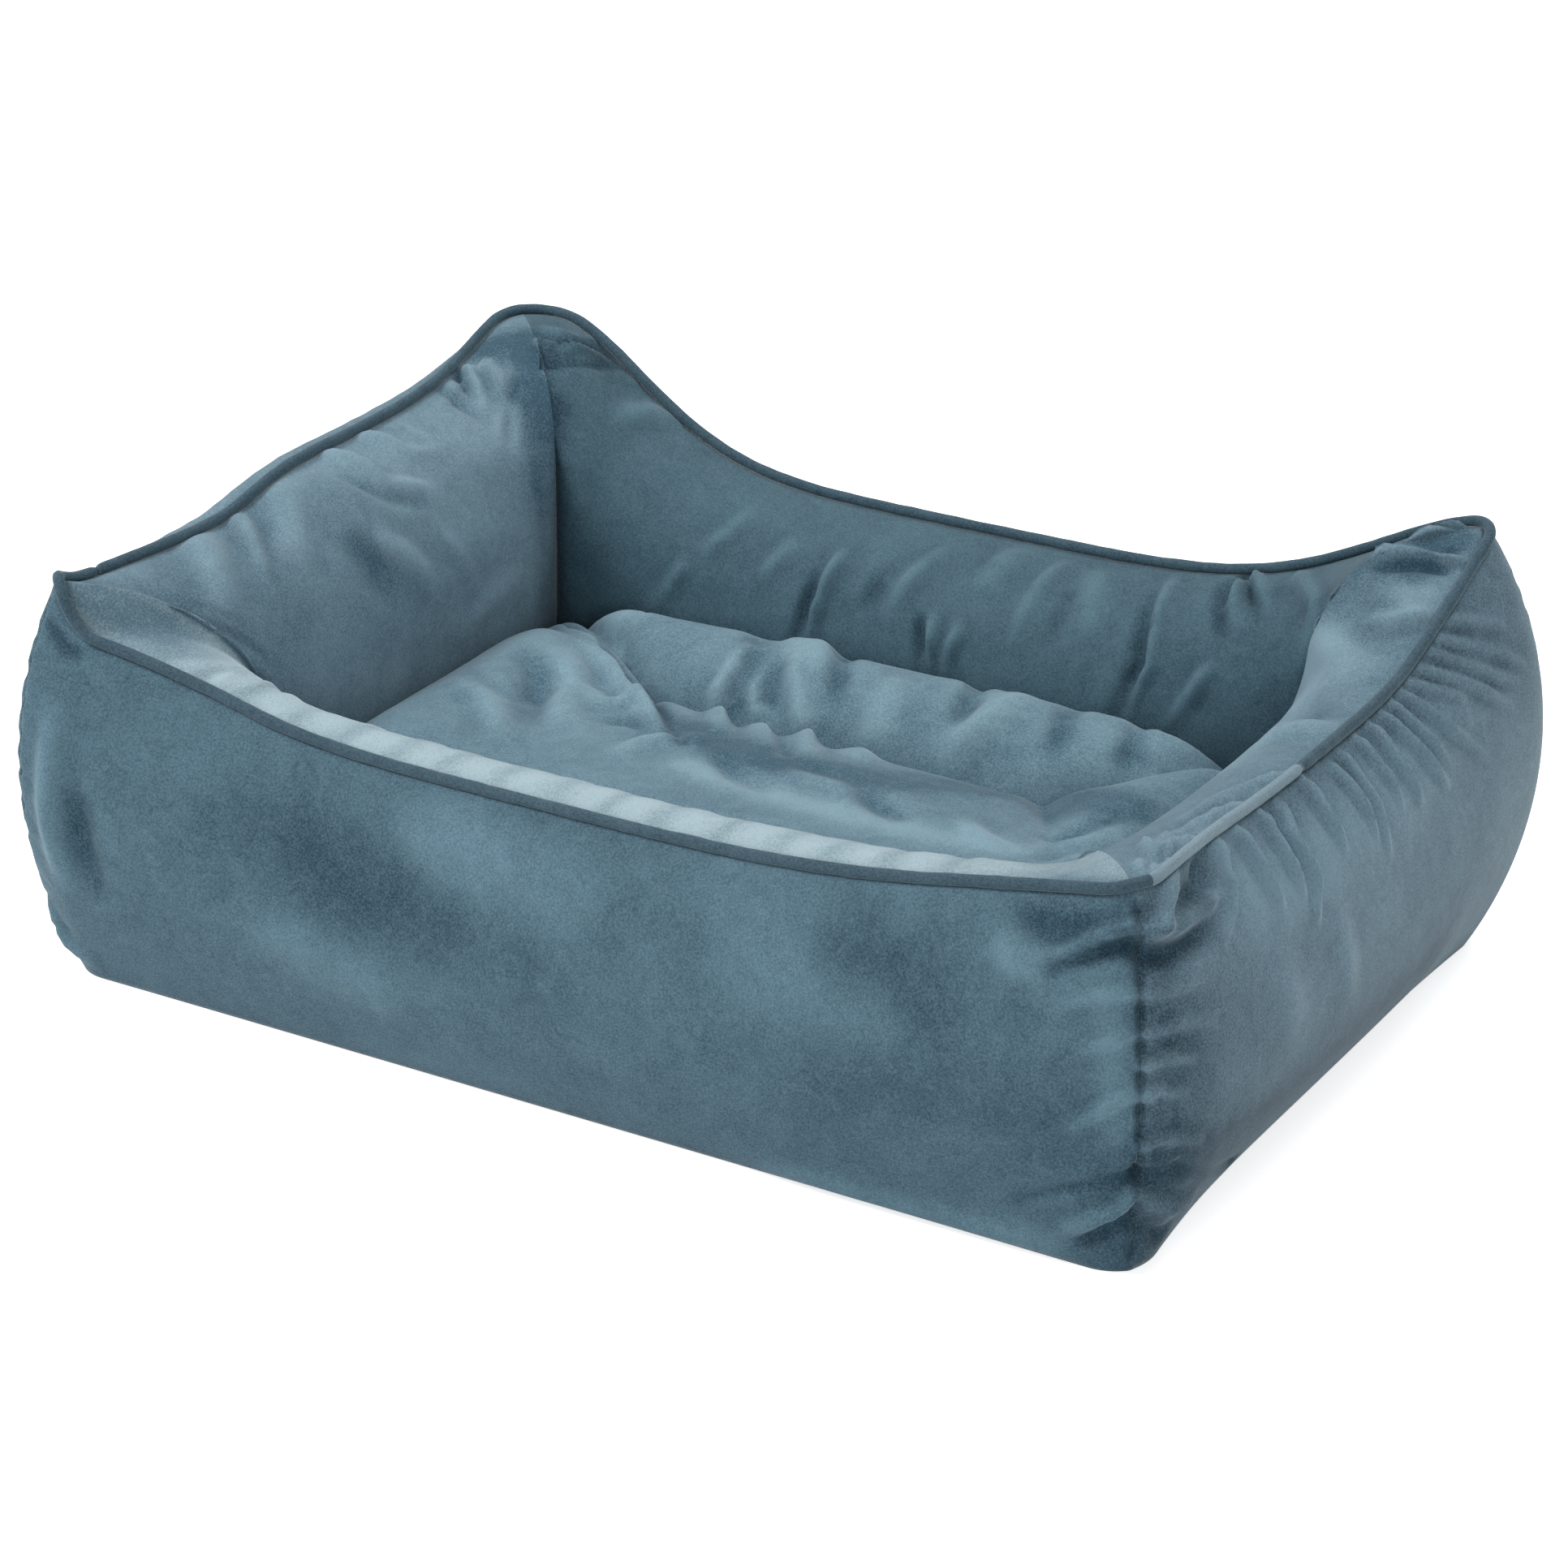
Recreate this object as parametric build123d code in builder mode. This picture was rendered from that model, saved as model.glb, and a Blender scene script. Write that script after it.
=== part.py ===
from build123d import *
from dataclasses import dataclass
from math import atan2, cos, hypot, pi, sin, sqrt
import os

# Dog sofa bed: four fibre-filled velvet walls round a loose cushion, piped along the rim.
# Millimetres, Z up, origin on the floor under the middle of the base, front towards -Y.
os.makedirs("parts", exist_ok=True)

# Base and cloth
base_width = 745.0
base_depth = 513.0
base_corner_radius = 30.0
base_thickness = 2.0
velvet_thickness = 2.0
sewing_gap = 0.3
fill_gap = 0.6
lining_gap = 0.9

# Walls: thickness at the belly of the inside face, and how far the floor seam tucks back under it
wall_thickness = 95.0
floor_seam_tuck = 18.0
shoulder_drop = 57.0
shoulder_bow = 23.0
wall_rim_inset = 16.0
corner_zone = 135.0

# Rim heights of the seam under the piping, at the middle of each wall and at the corners
front_height = 184.0
right_height = 216.0
back_height = 202.0
left_height = 262.0
front_left_height = 257.0
front_right_height = 226.0
back_right_height = 274.0
back_left_height = 290.0

# The front left corner stands up in an ear above the front rim and a little above the left one
front_ear_height = 34.0
left_ear_height = 9.0
ear_length = 42.0

# Set-back and turn of the rim in plan at each corner
front_left_inset = 4.0
front_right_inset = 11.0
back_right_inset = 12.0
back_left_inset = 7.0
front_left_radius = 14.0
front_right_radius = 22.0
back_right_radius = 26.0
back_left_radius = 34.0

# How far the outside panels belly out beyond their chord
front_bulge = 27.0
side_bulge = 42.0
back_bulge = 32.0
front_left_bulge = 22.0
front_right_bulge = 9.0
back_right_bulge = 29.0
back_left_bulge = 28.0

# How far the outside panels tuck in under their belly at the floor
side_tuck = 15.0
back_tuck = 8.0
front_corner_tuck = 0.5
front_tuck = 1.0
back_corner_tuck = 9.0

# Piping: a cord in a velvet cover, seated on the rim seam
cord_diameter = 5.0
cord_clearance = 0.2
piping_cover_thickness = 0.8
piping_seat = 0.65
piping_join_gap = 0.4
right_join_distance = 221.0
left_join_distance = 42.0

# Loose cushion
cushion_clearance = 1.0
cushion_cover_thickness = 1.5
cushion_seam_height = 50.0
cushion_crown_height = 140.0
cushion_valley_height = 82.0
cushion_boxing = 14.0
cushion_draw_in = 8.0
cushion_corner_radius = 42.0
cushion_underside_round = 30.0
cushion_edge = 4.0

# Zip in the rear edge of the cushion
zip_end_distance = 76.5
zip_end_margin = 1.4
tape_width = 11.5
tape_thickness = 0.8
tape_step = 2.0
coil_width = 2.0
coil_thickness = 2.0
coil_row_gap = 0.9
coil_tape_gap = 0.2
stop_length = 3.0
stop_margin = 0.3
running_gap = 0.3
slider_length = 10.0
slider_plate = 0.8
slider_front_plate = 1.0
slider_flange = 1.1
slider_post = 0.3
slider_post_length = 3.0
slider_end_margin = 1.0
bridge_width = 1.8
bridge_rise = 1.8
bridge_thickness = 0.7
bridge_leg = 1.2
pull_bar_diameter = 1.0
pull_arm_width = 1.2
pull_arm_length = 7.0
pull_tab_length = 9.0
pull_tab_hole_radius = 1.4
pull_corner_radius = 1.0

# Shapes of the rises, as shares
station_shares = (0.0, 0.025, 0.05, 0.075, 0.1, 0.125, 0.15, 0.18, 0.215, 0.255, 0.31, 0.4, 0.56, 0.76, 1.0)
long_wall_middle_shares = (0.167, 0.333, 0.5, 0.667, 0.833)
short_wall_middle_shares = (0.2, 0.4, 0.6, 0.8)
lean_power = 1.5
bulge_power = 3
ear_power = 1.8
fill_outer_end_share = 0.955
fill_shoulder_start_share = 0.075
cushion_zip_shares = (0.0, 0.32, 0.57, 0.7, 0.84)
cushion_end_shares = (1.0, 0.77, 0.54, 0.365, 0.23, 0.135, 0.07, 0.023, 0.0)
crown_place_share = 0.62
crown_power = 8
underside_flat_share = 0.8
valley_full_share = 0.42
valley_gone_share = 0.8
valley_left_share = 0.1
draw_in_fade_share = 0.73
piping_run_steps = 5

# Derived sizes
wall_foot = base_thickness + sewing_gap
panel_step = velvet_thickness + sewing_gap
fill_inset = velvet_thickness + fill_gap
nest_half_width = base_width / 2 - wall_thickness
nest_half_depth = base_depth / 2 - wall_thickness
piping_radius = cord_diameter / 2 + cord_clearance + piping_cover_thickness
lining_top = wall_foot + velvet_thickness
cushion_foot = lining_top + sewing_gap
cushion_half_length = nest_half_width - cushion_clearance
cushion_half_depth = nest_half_depth - cushion_clearance
zip_length = 2 * (cushion_half_length - zip_end_distance)
zip_reach = zip_length / 2 + coil_tape_gap + stop_length + zip_end_margin
draw_in_full_share = zip_reach / cushion_half_length
draw_in_gone_share = draw_in_full_share + (1 - draw_in_full_share) * draw_in_fade_share


@dataclass
class Corner:
    """A corner of the bed: its rim's height, set-back and turn, its belly and its tuck."""

    height: float
    rim_inset: float
    rim_radius: float
    bulge: float
    tuck: float


@dataclass
class Rise:
    """How a wall's rim climbs to a corner: where it flattens out, how late, and in what ear."""

    flat_share: float
    power: float
    ear: float = 0.0


@dataclass
class Wall:
    """One side of the bed, running counter-clockwise from its start corner to its end corner."""

    name: str
    length: float
    edge_distance: float
    turn: float
    middle_height: float
    bulge: float
    tuck: float
    start: Corner
    end: Corner
    start_rise: Rise
    end_rise: Rise
    middle_shares: tuple


front_left = Corner(front_left_height, front_left_inset, front_left_radius, front_left_bulge, front_corner_tuck)
front_right = Corner(front_right_height, front_right_inset, front_right_radius, front_right_bulge,
                     front_corner_tuck)
back_right = Corner(back_right_height, back_right_inset, back_right_radius, back_right_bulge, back_corner_tuck)
back_left = Corner(back_left_height, back_left_inset, back_left_radius, back_left_bulge, back_corner_tuck)

walls = (
    Wall("front", base_width, base_depth / 2, 0, front_height, front_bulge, front_tuck,
         front_left, front_right, Rise(0.95, 2.6, front_ear_height), Rise(1.2, 1.6), long_wall_middle_shares),
    Wall("right", base_depth, base_width / 2, 90, right_height, side_bulge, side_tuck,
         front_right, back_right, Rise(0.95, 1.5), Rise(1.0, 1.95), short_wall_middle_shares),
    Wall("back", base_width, base_depth / 2, 180, back_height, back_bulge, back_tuck,
         back_right, back_left, Rise(1.0, 2.4), Rise(0.91, 2.5), long_wall_middle_shares),
    Wall("left", base_depth, base_width / 2, 270, left_height, side_bulge, side_tuck,
         back_left, front_left, Rise(1.0, 2.15), Rise(0.46, 1.5, left_ear_height), short_wall_middle_shares),
)


def save(piece, label):
    """Label a finished piece and write it."""
    piece.part.label = label
    export_step(piece.part, f"parts/{label}.step")


def blend_share(value, low, high):
    """Smooth step from 0 at low to 1 at high."""
    share = min(1.0, max(0.0, (value - low) / (high - low)))
    return share * share * (3 - 2 * share)


def bowed_arc(start, end, bow):
    """Arc from start to end that bows out by bow to the left of its direction.

    Gives a function of the share along the arc and an inset towards its centre.
    """
    chord = hypot(end[0] - start[0], end[1] - start[1])
    radius = (chord**2 / 4 + bow**2) / (2 * bow)
    along = ((end[0] - start[0]) / chord, (end[1] - start[1]) / chord)
    left = (-along[1], along[0])
    reach = bow - radius
    centre = (
        (start[0] + end[0]) / 2 + left[0] * reach,
        (start[1] + end[1]) / 2 + left[1] * reach,
    )
    first = atan2(start[1] - centre[1], start[0] - centre[0])
    last = atan2(end[1] - centre[1], end[0] - centre[0])
    if last > first:
        last -= 2 * pi

    def point(share, inset=0):
        angle = first + (last - first) * share
        return (centre[0] + (radius - inset) * cos(angle), centre[1] + (radius - inset) * sin(angle))

    return point


def corner_distance(wall, out):
    """Distance of a station's outer end from the nearer corner of its wall."""
    return min(out, wall.length - out)


def lean(wall, out):
    """Slope of a station across the wall: 1 in the mitre, 0 past the corner zone."""
    distance = corner_distance(wall, out)
    if distance >= corner_zone:
        return 0.0
    share = (distance / corner_zone) ** lean_power
    inner = wall_thickness + (corner_zone - wall_thickness) * share
    slope = (inner - distance) / wall_thickness
    return slope if out < wall.length / 2 else -slope


def rounded_inset(distance, slope, radius):
    """How far a station's line runs in before it meets a corner rounded by radius."""
    if distance >= radius:
        return 0.0
    a = 1 + slope**2
    b = 2 * (slope * (distance - radius) - radius)
    c = (distance - radius) ** 2
    return (-b - sqrt(b**2 - 4 * a * c)) / (2 * a)


def nearer_end(wall, out):
    """The corner and the rise that a station belongs to."""
    if out < wall.length / 2:
        return wall.start, wall.start_rise
    return wall.end, wall.end_rise


def climb(rise, share):
    """Share of the way up the rim at a share of the way to the corner: 1 in the corner."""
    up = sin(pi / 2 * min(1.0, share / rise.flat_share) ** rise.power) ** 2
    top = sin(pi / 2 * min(1.0, 1 / rise.flat_share) ** rise.power) ** 2
    return up / top


def rim_place(wall, out):
    """Inset and height of the rim seam at a station."""
    slope = abs(lean(wall, out))
    corner, rise = nearer_end(wall, out)
    near = corner_distance(wall, out)
    corner_share = 1 - blend_share(near, 0.0, corner_zone)
    set_back = wall_rim_inset + (corner.rim_inset - wall_rim_inset) * corner_share
    inset = set_back + rounded_inset(near + slope * set_back - set_back, slope, corner.rim_radius)
    half = wall.length / 2 - corner.rim_inset
    from_corner = max(0.0, near + slope * inset - inset)
    height = corner.height - rise.ear
    height = wall.middle_height + (height - wall.middle_height) * climb(rise, 1 - from_corner / half)
    return inset, height + rise.ear * blend_share(max(0.0, 1 - from_corner / ear_length) ** ear_power, 0.0, 1.0)


def station_plane(wall, out):
    """Upright plane of a station: its X runs into the bed, its Y runs up."""
    slope = lean(wall, out)
    mitre_gap = sewing_gap / sqrt(2)
    along = (out - wall.length / 2) * (1 - 2 * mitre_gap / wall.length)
    origin = Vector(along, -wall.edge_distance, 0).rotate(Axis.Z, wall.turn)
    inward = Vector(slope, 1, 0).normalized().rotate(Axis.Z, wall.turn)
    return Plane(origin=origin, x_dir=inward, z_dir=inward.cross(Vector(0, 0, 1)))


def stations(wall):
    """Distances of the stations along a wall, closer together near its corners."""
    near = [corner_zone * share for share in station_shares]
    span = wall.length - 2 * corner_zone
    middle = [corner_zone + span * share for share in wall.middle_shares]
    far = [wall.length - distance for distance in reversed(near)]
    return near + middle + far


def side_fullness(wall, out):
    """How much of its wall's belly and tuck a station has: none in the corners, all midway."""
    half = wall.length / 2
    return 1 - (abs(out - half) / half) ** bulge_power


def foot_inset(wall, out):
    """How far the floor edge of the outside panel lies inside the base's straight edge."""
    corner, _ = nearer_end(wall, out)
    tuck = corner.tuck + (wall.tuck - corner.tuck) * side_fullness(wall, out)
    return tuck + rounded_inset(corner_distance(wall, out), abs(lean(wall, out)), base_corner_radius)


def wall_outline(wall, out):
    """The outer arc, shoulder arc and inner face arc of a wall's section at a station."""
    rim, height = rim_place(wall, out)
    corner, _ = nearer_end(wall, out)
    fullness = side_fullness(wall, out)
    foot = foot_inset(wall, out)
    bulge = corner.bulge + (wall.bulge - corner.bulge) * fullness
    outer = bowed_arc((foot, wall_foot), (rim, height), bulge)
    face_top = (wall_thickness, height - shoulder_drop)
    shoulder = bowed_arc((rim + panel_step, height), face_top, shoulder_bow)
    face_foot = (wall_thickness - floor_seam_tuck, wall_foot)
    face = bowed_arc(face_top, face_foot, floor_seam_tuck / 4)
    return outer, shoulder, face


def placed(points, wall, out):
    """Section points stretched onto a station's leaning plane."""
    stretch = sqrt(1 + lean(wall, out) ** 2)
    return [(x * stretch, z) for x, z in points]


def arc_points(arc, start_share, end_share, inset=0):
    """Three points of an arc between two shares."""
    middle_share = (start_share + end_share) / 2
    return [arc(share, inset) for share in (start_share, middle_share, end_share)]


def wall_fill_section(wall, out):
    """Section of the fibre fill, one gap inside both panels and open under the rim seam."""
    outer, shoulder, face = wall_outline(wall, out)
    a = placed(arc_points(outer, 0, fill_outer_end_share, fill_inset), wall, out)
    b = placed(arc_points(shoulder, fill_shoulder_start_share, 1, fill_inset), wall, out)
    c = placed(arc_points(face, 0, 1, fill_inset), wall, out)
    c[0] = b[2]
    c[2] = (c[2][0], a[0][1])
    with BuildSketch(station_plane(wall, out)) as section:
        with BuildLine():
            ThreePointArc(*a)
            Line(a[2], b[0])
            ThreePointArc(*b)
            ThreePointArc(*c)
            Line(c[2], a[0])
        make_face()
    return section.sketch


def outer_panel_section(wall, out):
    """Section of the outside velvet panel, from the base seam to the rim seam."""
    outer, _, _ = wall_outline(wall, out)
    a = placed(arc_points(outer, 0, 1), wall, out)
    b = placed(arc_points(outer, 1, 0, velvet_thickness), wall, out)
    b[0] = (b[0][0], a[2][1])
    b[2] = (b[2][0], a[0][1])
    with BuildSketch(station_plane(wall, out)) as section:
        with BuildLine():
            ThreePointArc(*a)
            Line(a[2], b[0])
            ThreePointArc(*b)
            Line(b[2], a[0])
        make_face()
    return section.sketch


def inner_panel_section(wall, out):
    """Section of the inside velvet panel, from the rim seam over the shoulder to the floor."""
    _, shoulder, face = wall_outline(wall, out)
    a = placed(arc_points(shoulder, 0, 1), wall, out)
    b = placed(arc_points(face, 0, 1), wall, out)
    c = placed(arc_points(face, 1, 0, velvet_thickness), wall, out)
    d = placed(arc_points(shoulder, 1, 0, velvet_thickness), wall, out)
    c[0] = (c[0][0], b[2][1])
    c[2] = d[0]
    with BuildSketch(station_plane(wall, out)) as section:
        with BuildLine():
            ThreePointArc(*a)
            ThreePointArc(*b)
            Line(b[2], c[0])
            ThreePointArc(*c)
            ThreePointArc(*d)
            Line(d[2], a[0])
        make_face()
    return section.sketch


# Walls: outside panel, inside panel and fibre fill on each side
for wall in walls:
    with BuildPart() as outer_panel:
        loft([outer_panel_section(wall, out) for out in stations(wall)], ruled=True)
    save(outer_panel, f"{wall.name}_outer_panel")

    with BuildPart() as inner_panel:
        loft([inner_panel_section(wall, out) for out in stations(wall)], ruled=True)
    save(inner_panel, f"{wall.name}_inner_panel")

    with BuildPart() as wall_fill:
        loft([wall_fill_section(wall, out) for out in stations(wall)], ruled=True)
    save(wall_fill, f"{wall.name}_wall_fill")


def foot_point(wall, out):
    """Point on the outside panel's floor edge."""
    foot = foot_inset(wall, out)
    along = out - wall.length / 2 + lean(wall, out) * foot
    return Vector(along, foot - wall.edge_distance, 0).rotate(Axis.Z, wall.turn)


# Base cloth that the bed stands on, cut along the outside panels' floor edge
with BuildPart() as non_slip_base:
    with BuildSketch(Plane.XY):
        with BuildLine():
            Polyline(*[foot_point(wall, out) for wall in walls for out in stations(wall)[:-1]], close=True)
        make_face()
    extrude(amount=base_thickness)
save(non_slip_base, "non_slip_base")

# Velvet floor inside the walls, seamed to their inside panels
lining_margin = wall_thickness - floor_seam_tuck + lining_gap
lining_width = base_width - 2 * lining_margin
lining_depth = base_depth - 2 * lining_margin
with BuildPart() as floor_lining:
    with BuildSketch(Plane.XY.offset(wall_foot)):
        Rectangle(lining_width, lining_depth)
    extrude(amount=velvet_thickness)
save(floor_lining, "floor_lining")


def rim_point(wall, out):
    """Point on the rim seam, midway between the outside and inside panels."""
    inset, height = rim_place(wall, out)
    seam = inset + panel_step / 2
    along = out - wall.length / 2 + lean(wall, out) * seam
    return Vector(along, seam - wall.edge_distance, height).rotate(Axis.Z, wall.turn)


def rim_route(pieces):
    """Rim points and inward directions along stretches of the walls."""
    points = []
    inwards = []
    for wall, low, high in pieces:
        for out in sorted({low, high, *[s for s in stations(wall) if low < s < high]}):
            point = rim_point(wall, out)
            if points and (point - points[-1]).length < piping_radius:
                continue
            points.append(point)
            inwards.append(Vector(lean(wall, out), 1, 0).rotate(Axis.Z, wall.turn))
    return points, inwards


def piping_planes(pieces):
    """Planes square to the piping, each centred one seat above the rim seam."""
    points, inwards = rim_route(pieces)
    steps = [(after - before).normalized() for before, after in zip(points, points[1:])]
    planes = []
    for index, point in enumerate(points):
        along = (steps[max(index - 1, 0)] + steps[min(index, len(steps) - 1)]).normalized()
        lift = along.cross(inwards[index]).normalized()
        centre = point + lift * (piping_seat + piping_radius)
        planes.append(Plane(origin=centre, x_dir=inwards[index], z_dir=along))
    return planes


def round_sections(planes, radius):
    """Round sections on a row of planes."""
    sections = []
    for plane in planes:
        with BuildSketch(plane) as section:
            Circle(radius)
        sections.append(section.sketch)
    return sections


def piping_tube(planes, radius):
    """Round bar along a row of planes, lofted in joined runs of a few steps."""
    sections = round_sections(planes, radius)
    for first in range(0, len(sections) - 1, piping_run_steps):
        loft(sections[first:first + piping_run_steps + 1], ruled=True)


front_wall, right_wall, back_wall, left_wall = walls
join_half_gap = piping_join_gap / 2
front_pieces = (
    (left_wall, left_wall.length - left_join_distance + join_half_gap, left_wall.length),
    (front_wall, 0.0, front_wall.length),
    (right_wall, 0.0, right_join_distance - join_half_gap),
)
rear_pieces = (
    (right_wall, right_join_distance + join_half_gap, right_wall.length),
    (back_wall, 0.0, back_wall.length),
    (left_wall, 0.0, left_wall.length - left_join_distance - join_half_gap),
)

# Piping in two lengths that meet on the right side and by the front left corner
for stretch, pieces in (("front", front_pieces), ("rear", rear_pieces)):
    planes = piping_planes(pieces)
    with BuildPart() as piping_cover:
        piping_tube(planes, piping_radius)
        with BuildPart(mode=Mode.SUBTRACT):
            piping_tube(planes, piping_radius - piping_cover_thickness)
    save(piping_cover, f"{stretch}_piping_cover")

    with BuildPart() as piping_cord:
        piping_tube(planes, cord_diameter / 2)
    save(piping_cord, f"{stretch}_piping_cord")


half_shares = [draw_in_full_share * share for share in cushion_zip_shares]
half_shares += [1 - (1 - draw_in_full_share) * share for share in cushion_end_shares]
cushion_shares = [-share for share in reversed(half_shares[1:])] + half_shares


def cushion_half_width(share):
    """Half depth of the cushion at a share of its half length: drawn in between its corners."""
    drawn = cushion_draw_in * (1 - blend_share(share, draw_in_full_share, draw_in_gone_share))
    end = cushion_half_length * (1 - share)
    corner = 0.0
    if end < cushion_corner_radius:
        corner = cushion_corner_radius - sqrt(cushion_corner_radius**2 - (cushion_corner_radius - end) ** 2)
    return cushion_half_depth - drawn - corner


def level_arc(side, top):
    """Three points of an arc from side that ends level at top."""
    run = top[0] - side[0]
    rise = top[1] - side[1]
    radius = (run**2 + rise**2) / (2 * rise)
    angle = atan2(abs(run), radius - rise) / 2
    toward = 1 if run < 0 else -1
    middle = (top[0] + toward * radius * sin(angle), top[1] - radius * (1 - cos(angle)))
    return side, middle, top


def cushion_top(inset, seam):
    """Sections of the upper half: two long lobes with a valley between, one lobe at each end."""
    sections = []
    for share in cushion_shares:
        place = abs(share)
        fullness = sqrt(1 - place**crown_power)
        half = cushion_half_width(place) - inset
        full_crown = cushion_crown_height - cushion_seam_height
        crown = max(cushion_edge, full_crown * fullness)
        boxing = cushion_boxing * crown / full_crown
        left_over = valley_left_share + (1 - valley_left_share) * (
            1 - blend_share(place, valley_full_share, valley_gone_share)
        )
        valley_depth = (cushion_crown_height - cushion_valley_height) * crown / full_crown * left_over
        side = (half, cushion_seam_height + boxing)
        top = (half * crown_place_share, cushion_seam_height + crown - inset)
        valley = (0.0, cushion_seam_height + crown - inset - valley_depth)
        flank = level_arc(side, top)
        lobe = level_arc(valley, top)
        mirror_flank = [(-x, z) for x, z in flank]
        mirror_lobe = [(-x, z) for x, z in lobe]
        with BuildSketch(cushion_plane(share, inset)) as section:
            with BuildLine():
                Line((half, seam), side)
                ThreePointArc(*flank)
                ThreePointArc(lobe[2], lobe[1], lobe[0])
                ThreePointArc(*mirror_lobe)
                ThreePointArc(mirror_flank[2], mirror_flank[1], mirror_flank[0])
                Line(mirror_flank[0], (-half, seam))
                Line((-half, seam), (half, seam))
            make_face()
        sections.append(section.sketch)
    return sections


def cushion_plane(share, inset):
    """Upright cross plane of the cushion: its X runs to the back, its Y runs up."""
    place = share * (cushion_half_length - inset)
    return Plane(origin=(place, 0, 0), x_dir=(0, 1, 0), z_dir=(1, 0, 0))


def over_seam(point):
    """A section point turned over from one side of the cushion's seam to the other."""
    return point[0], 2 * cushion_seam_height - point[1]


def cushion_bottom(inset, seam):
    """Sections of the lower half: upright sides that round into a flat underside."""
    sections = []
    for share in cushion_shares:
        place = abs(share)
        past_flat = max(0.0, place - underside_flat_share) / (1 - underside_flat_share)
        fullness = sqrt(1 - past_flat**2)
        full_depth = cushion_seam_height - cushion_foot
        half = cushion_half_width(place) - inset
        depth = max(cushion_edge, full_depth * fullness)
        boxing = cushion_boxing * depth / full_depth
        side = (half, cushion_seam_height - boxing)
        foot = (half - cushion_underside_round * depth / full_depth, cushion_seam_height - depth + inset)
        turn = [over_seam(point) for point in level_arc(over_seam(side), over_seam(foot))]
        mirror_turn = [(-x, z) for x, z in turn]
        with BuildSketch(cushion_plane(share, inset)) as section:
            with BuildLine():
                Line((half, seam), side)
                ThreePointArc(*turn)
                Line(foot, mirror_turn[2])
                ThreePointArc(mirror_turn[2], mirror_turn[1], mirror_turn[0])
                Line(mirror_turn[0], (-half, seam))
                Line((-half, seam), (half, seam))
            make_face()
        sections.append(section.sketch)
    return sections


# Cushion covers, as shells either side of the edge seam
with BuildPart() as cushion_top_cover:
    loft(cushion_top(0.0, cushion_seam_height), ruled=True)
    loft(cushion_top(cushion_cover_thickness, cushion_seam_height), ruled=True, mode=Mode.SUBTRACT)
save(cushion_top_cover, "cushion_top_cover")

lower_seam = cushion_seam_height - sewing_gap
with BuildPart() as cushion_bottom_cover:
    loft(cushion_bottom(0.0, lower_seam), ruled=True)
    loft(cushion_bottom(cushion_cover_thickness, lower_seam), ruled=True, mode=Mode.SUBTRACT)
save(cushion_bottom_cover, "cushion_bottom_cover")

# Cushion fill, one gap inside the covers
with BuildPart() as cushion_fill:
    loft(cushion_top(cushion_cover_thickness + sewing_gap, cushion_seam_height), ruled=True)
    loft(cushion_bottom(cushion_cover_thickness + sewing_gap, cushion_seam_height), ruled=True)
save(cushion_fill, "cushion_fill")

# Zip: Y places counted out from the cushion's rear edge
cushion_rear = cushion_half_width(0.0)
slider_back = cushion_rear + running_gap
coil_back = slider_back + slider_plate + running_gap
coil_front = coil_back + coil_thickness
tape_back = coil_back + (coil_thickness - tape_thickness) / 2
tape_front = tape_back + tape_thickness
front_plate_back = coil_front + running_gap
front_plate_front = front_plate_back + slider_front_plate
coil_outer = coil_row_gap / 2 + coil_width
tape_inner = coil_outer + coil_tape_gap
tape_outer = tape_inner + tape_width
tape_level_end = tape_outer - tape_width / 2
seat_back = cushion_rear + sewing_gap

# Each tape steps down from the coil to its seam on the cover
for side_name, side in (("upper", 1), ("lower", -1)):
    with BuildPart() as zip_tape:
        with BuildSketch(Plane(origin=(-zip_length / 2, 0, cushion_seam_height), x_dir=(0, 1, 0),
                               z_dir=(1, 0, 0))):
            with BuildLine():
                Polyline(
                    (tape_back, side * tape_inner),
                    (tape_front, side * tape_inner),
                    (tape_front, side * tape_level_end),
                    (seat_back + tape_thickness, side * (tape_level_end + tape_step)),
                    (seat_back + tape_thickness, side * tape_outer),
                    (seat_back, side * tape_outer),
                    (seat_back, side * (tape_level_end + tape_step)),
                    (tape_back, side * tape_level_end),
                    close=True,
                )
            make_face()
        extrude(amount=zip_length)
    save(zip_tape, f"{side_name}_zip_tape")

    coil_middle = cushion_seam_height + side * (coil_row_gap + coil_width) / 2
    with BuildPart() as zip_coil:
        with BuildSketch(Plane(origin=(-zip_length / 2, (coil_back + coil_front) / 2, coil_middle),
                               x_dir=(0, 1, 0), z_dir=(1, 0, 0))):
            RectangleRounded(coil_thickness, coil_width, coil_width / 4)
        extrude(amount=zip_length)
    save(zip_coil, f"{side_name}_zip_coil")

# End stops: one on each row at the closed end, one across both at the open end
stop_middle = (coil_back + coil_front) / 2
stop_depth = coil_thickness - 2 * stop_margin
stop_place = zip_length / 2 + coil_tape_gap + stop_length / 2
with BuildPart() as zip_end_stops:
    for side in (1, -1):
        with BuildSketch(Plane.XY.offset(cushion_seam_height + side * (coil_row_gap + coil_width) / 2)):
            with Locations((stop_place, stop_middle)):
                Rectangle(stop_length, stop_depth)
        extrude(amount=coil_width / 2, both=True)
    with BuildSketch(Plane.XY.offset(cushion_seam_height)):
        with Locations((-stop_place, stop_middle)):
            Rectangle(stop_length, stop_depth)
    extrude(amount=coil_outer, both=True)
save(zip_end_stops, "zip_end_stops")

# Slider: two plates joined by a thin post between the coil rows, flanges and a bridge
slider_x = zip_length / 2 - slider_end_margin - slider_length / 2
slider_half_height = coil_outer + running_gap + slider_flange
post_x = slider_x + slider_length / 2 - slider_post_length / 2 - slider_end_margin
flange_front = tape_front + running_gap
flange_back = tape_back - running_gap
flange_middle = coil_outer + running_gap + slider_flange / 2


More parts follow.
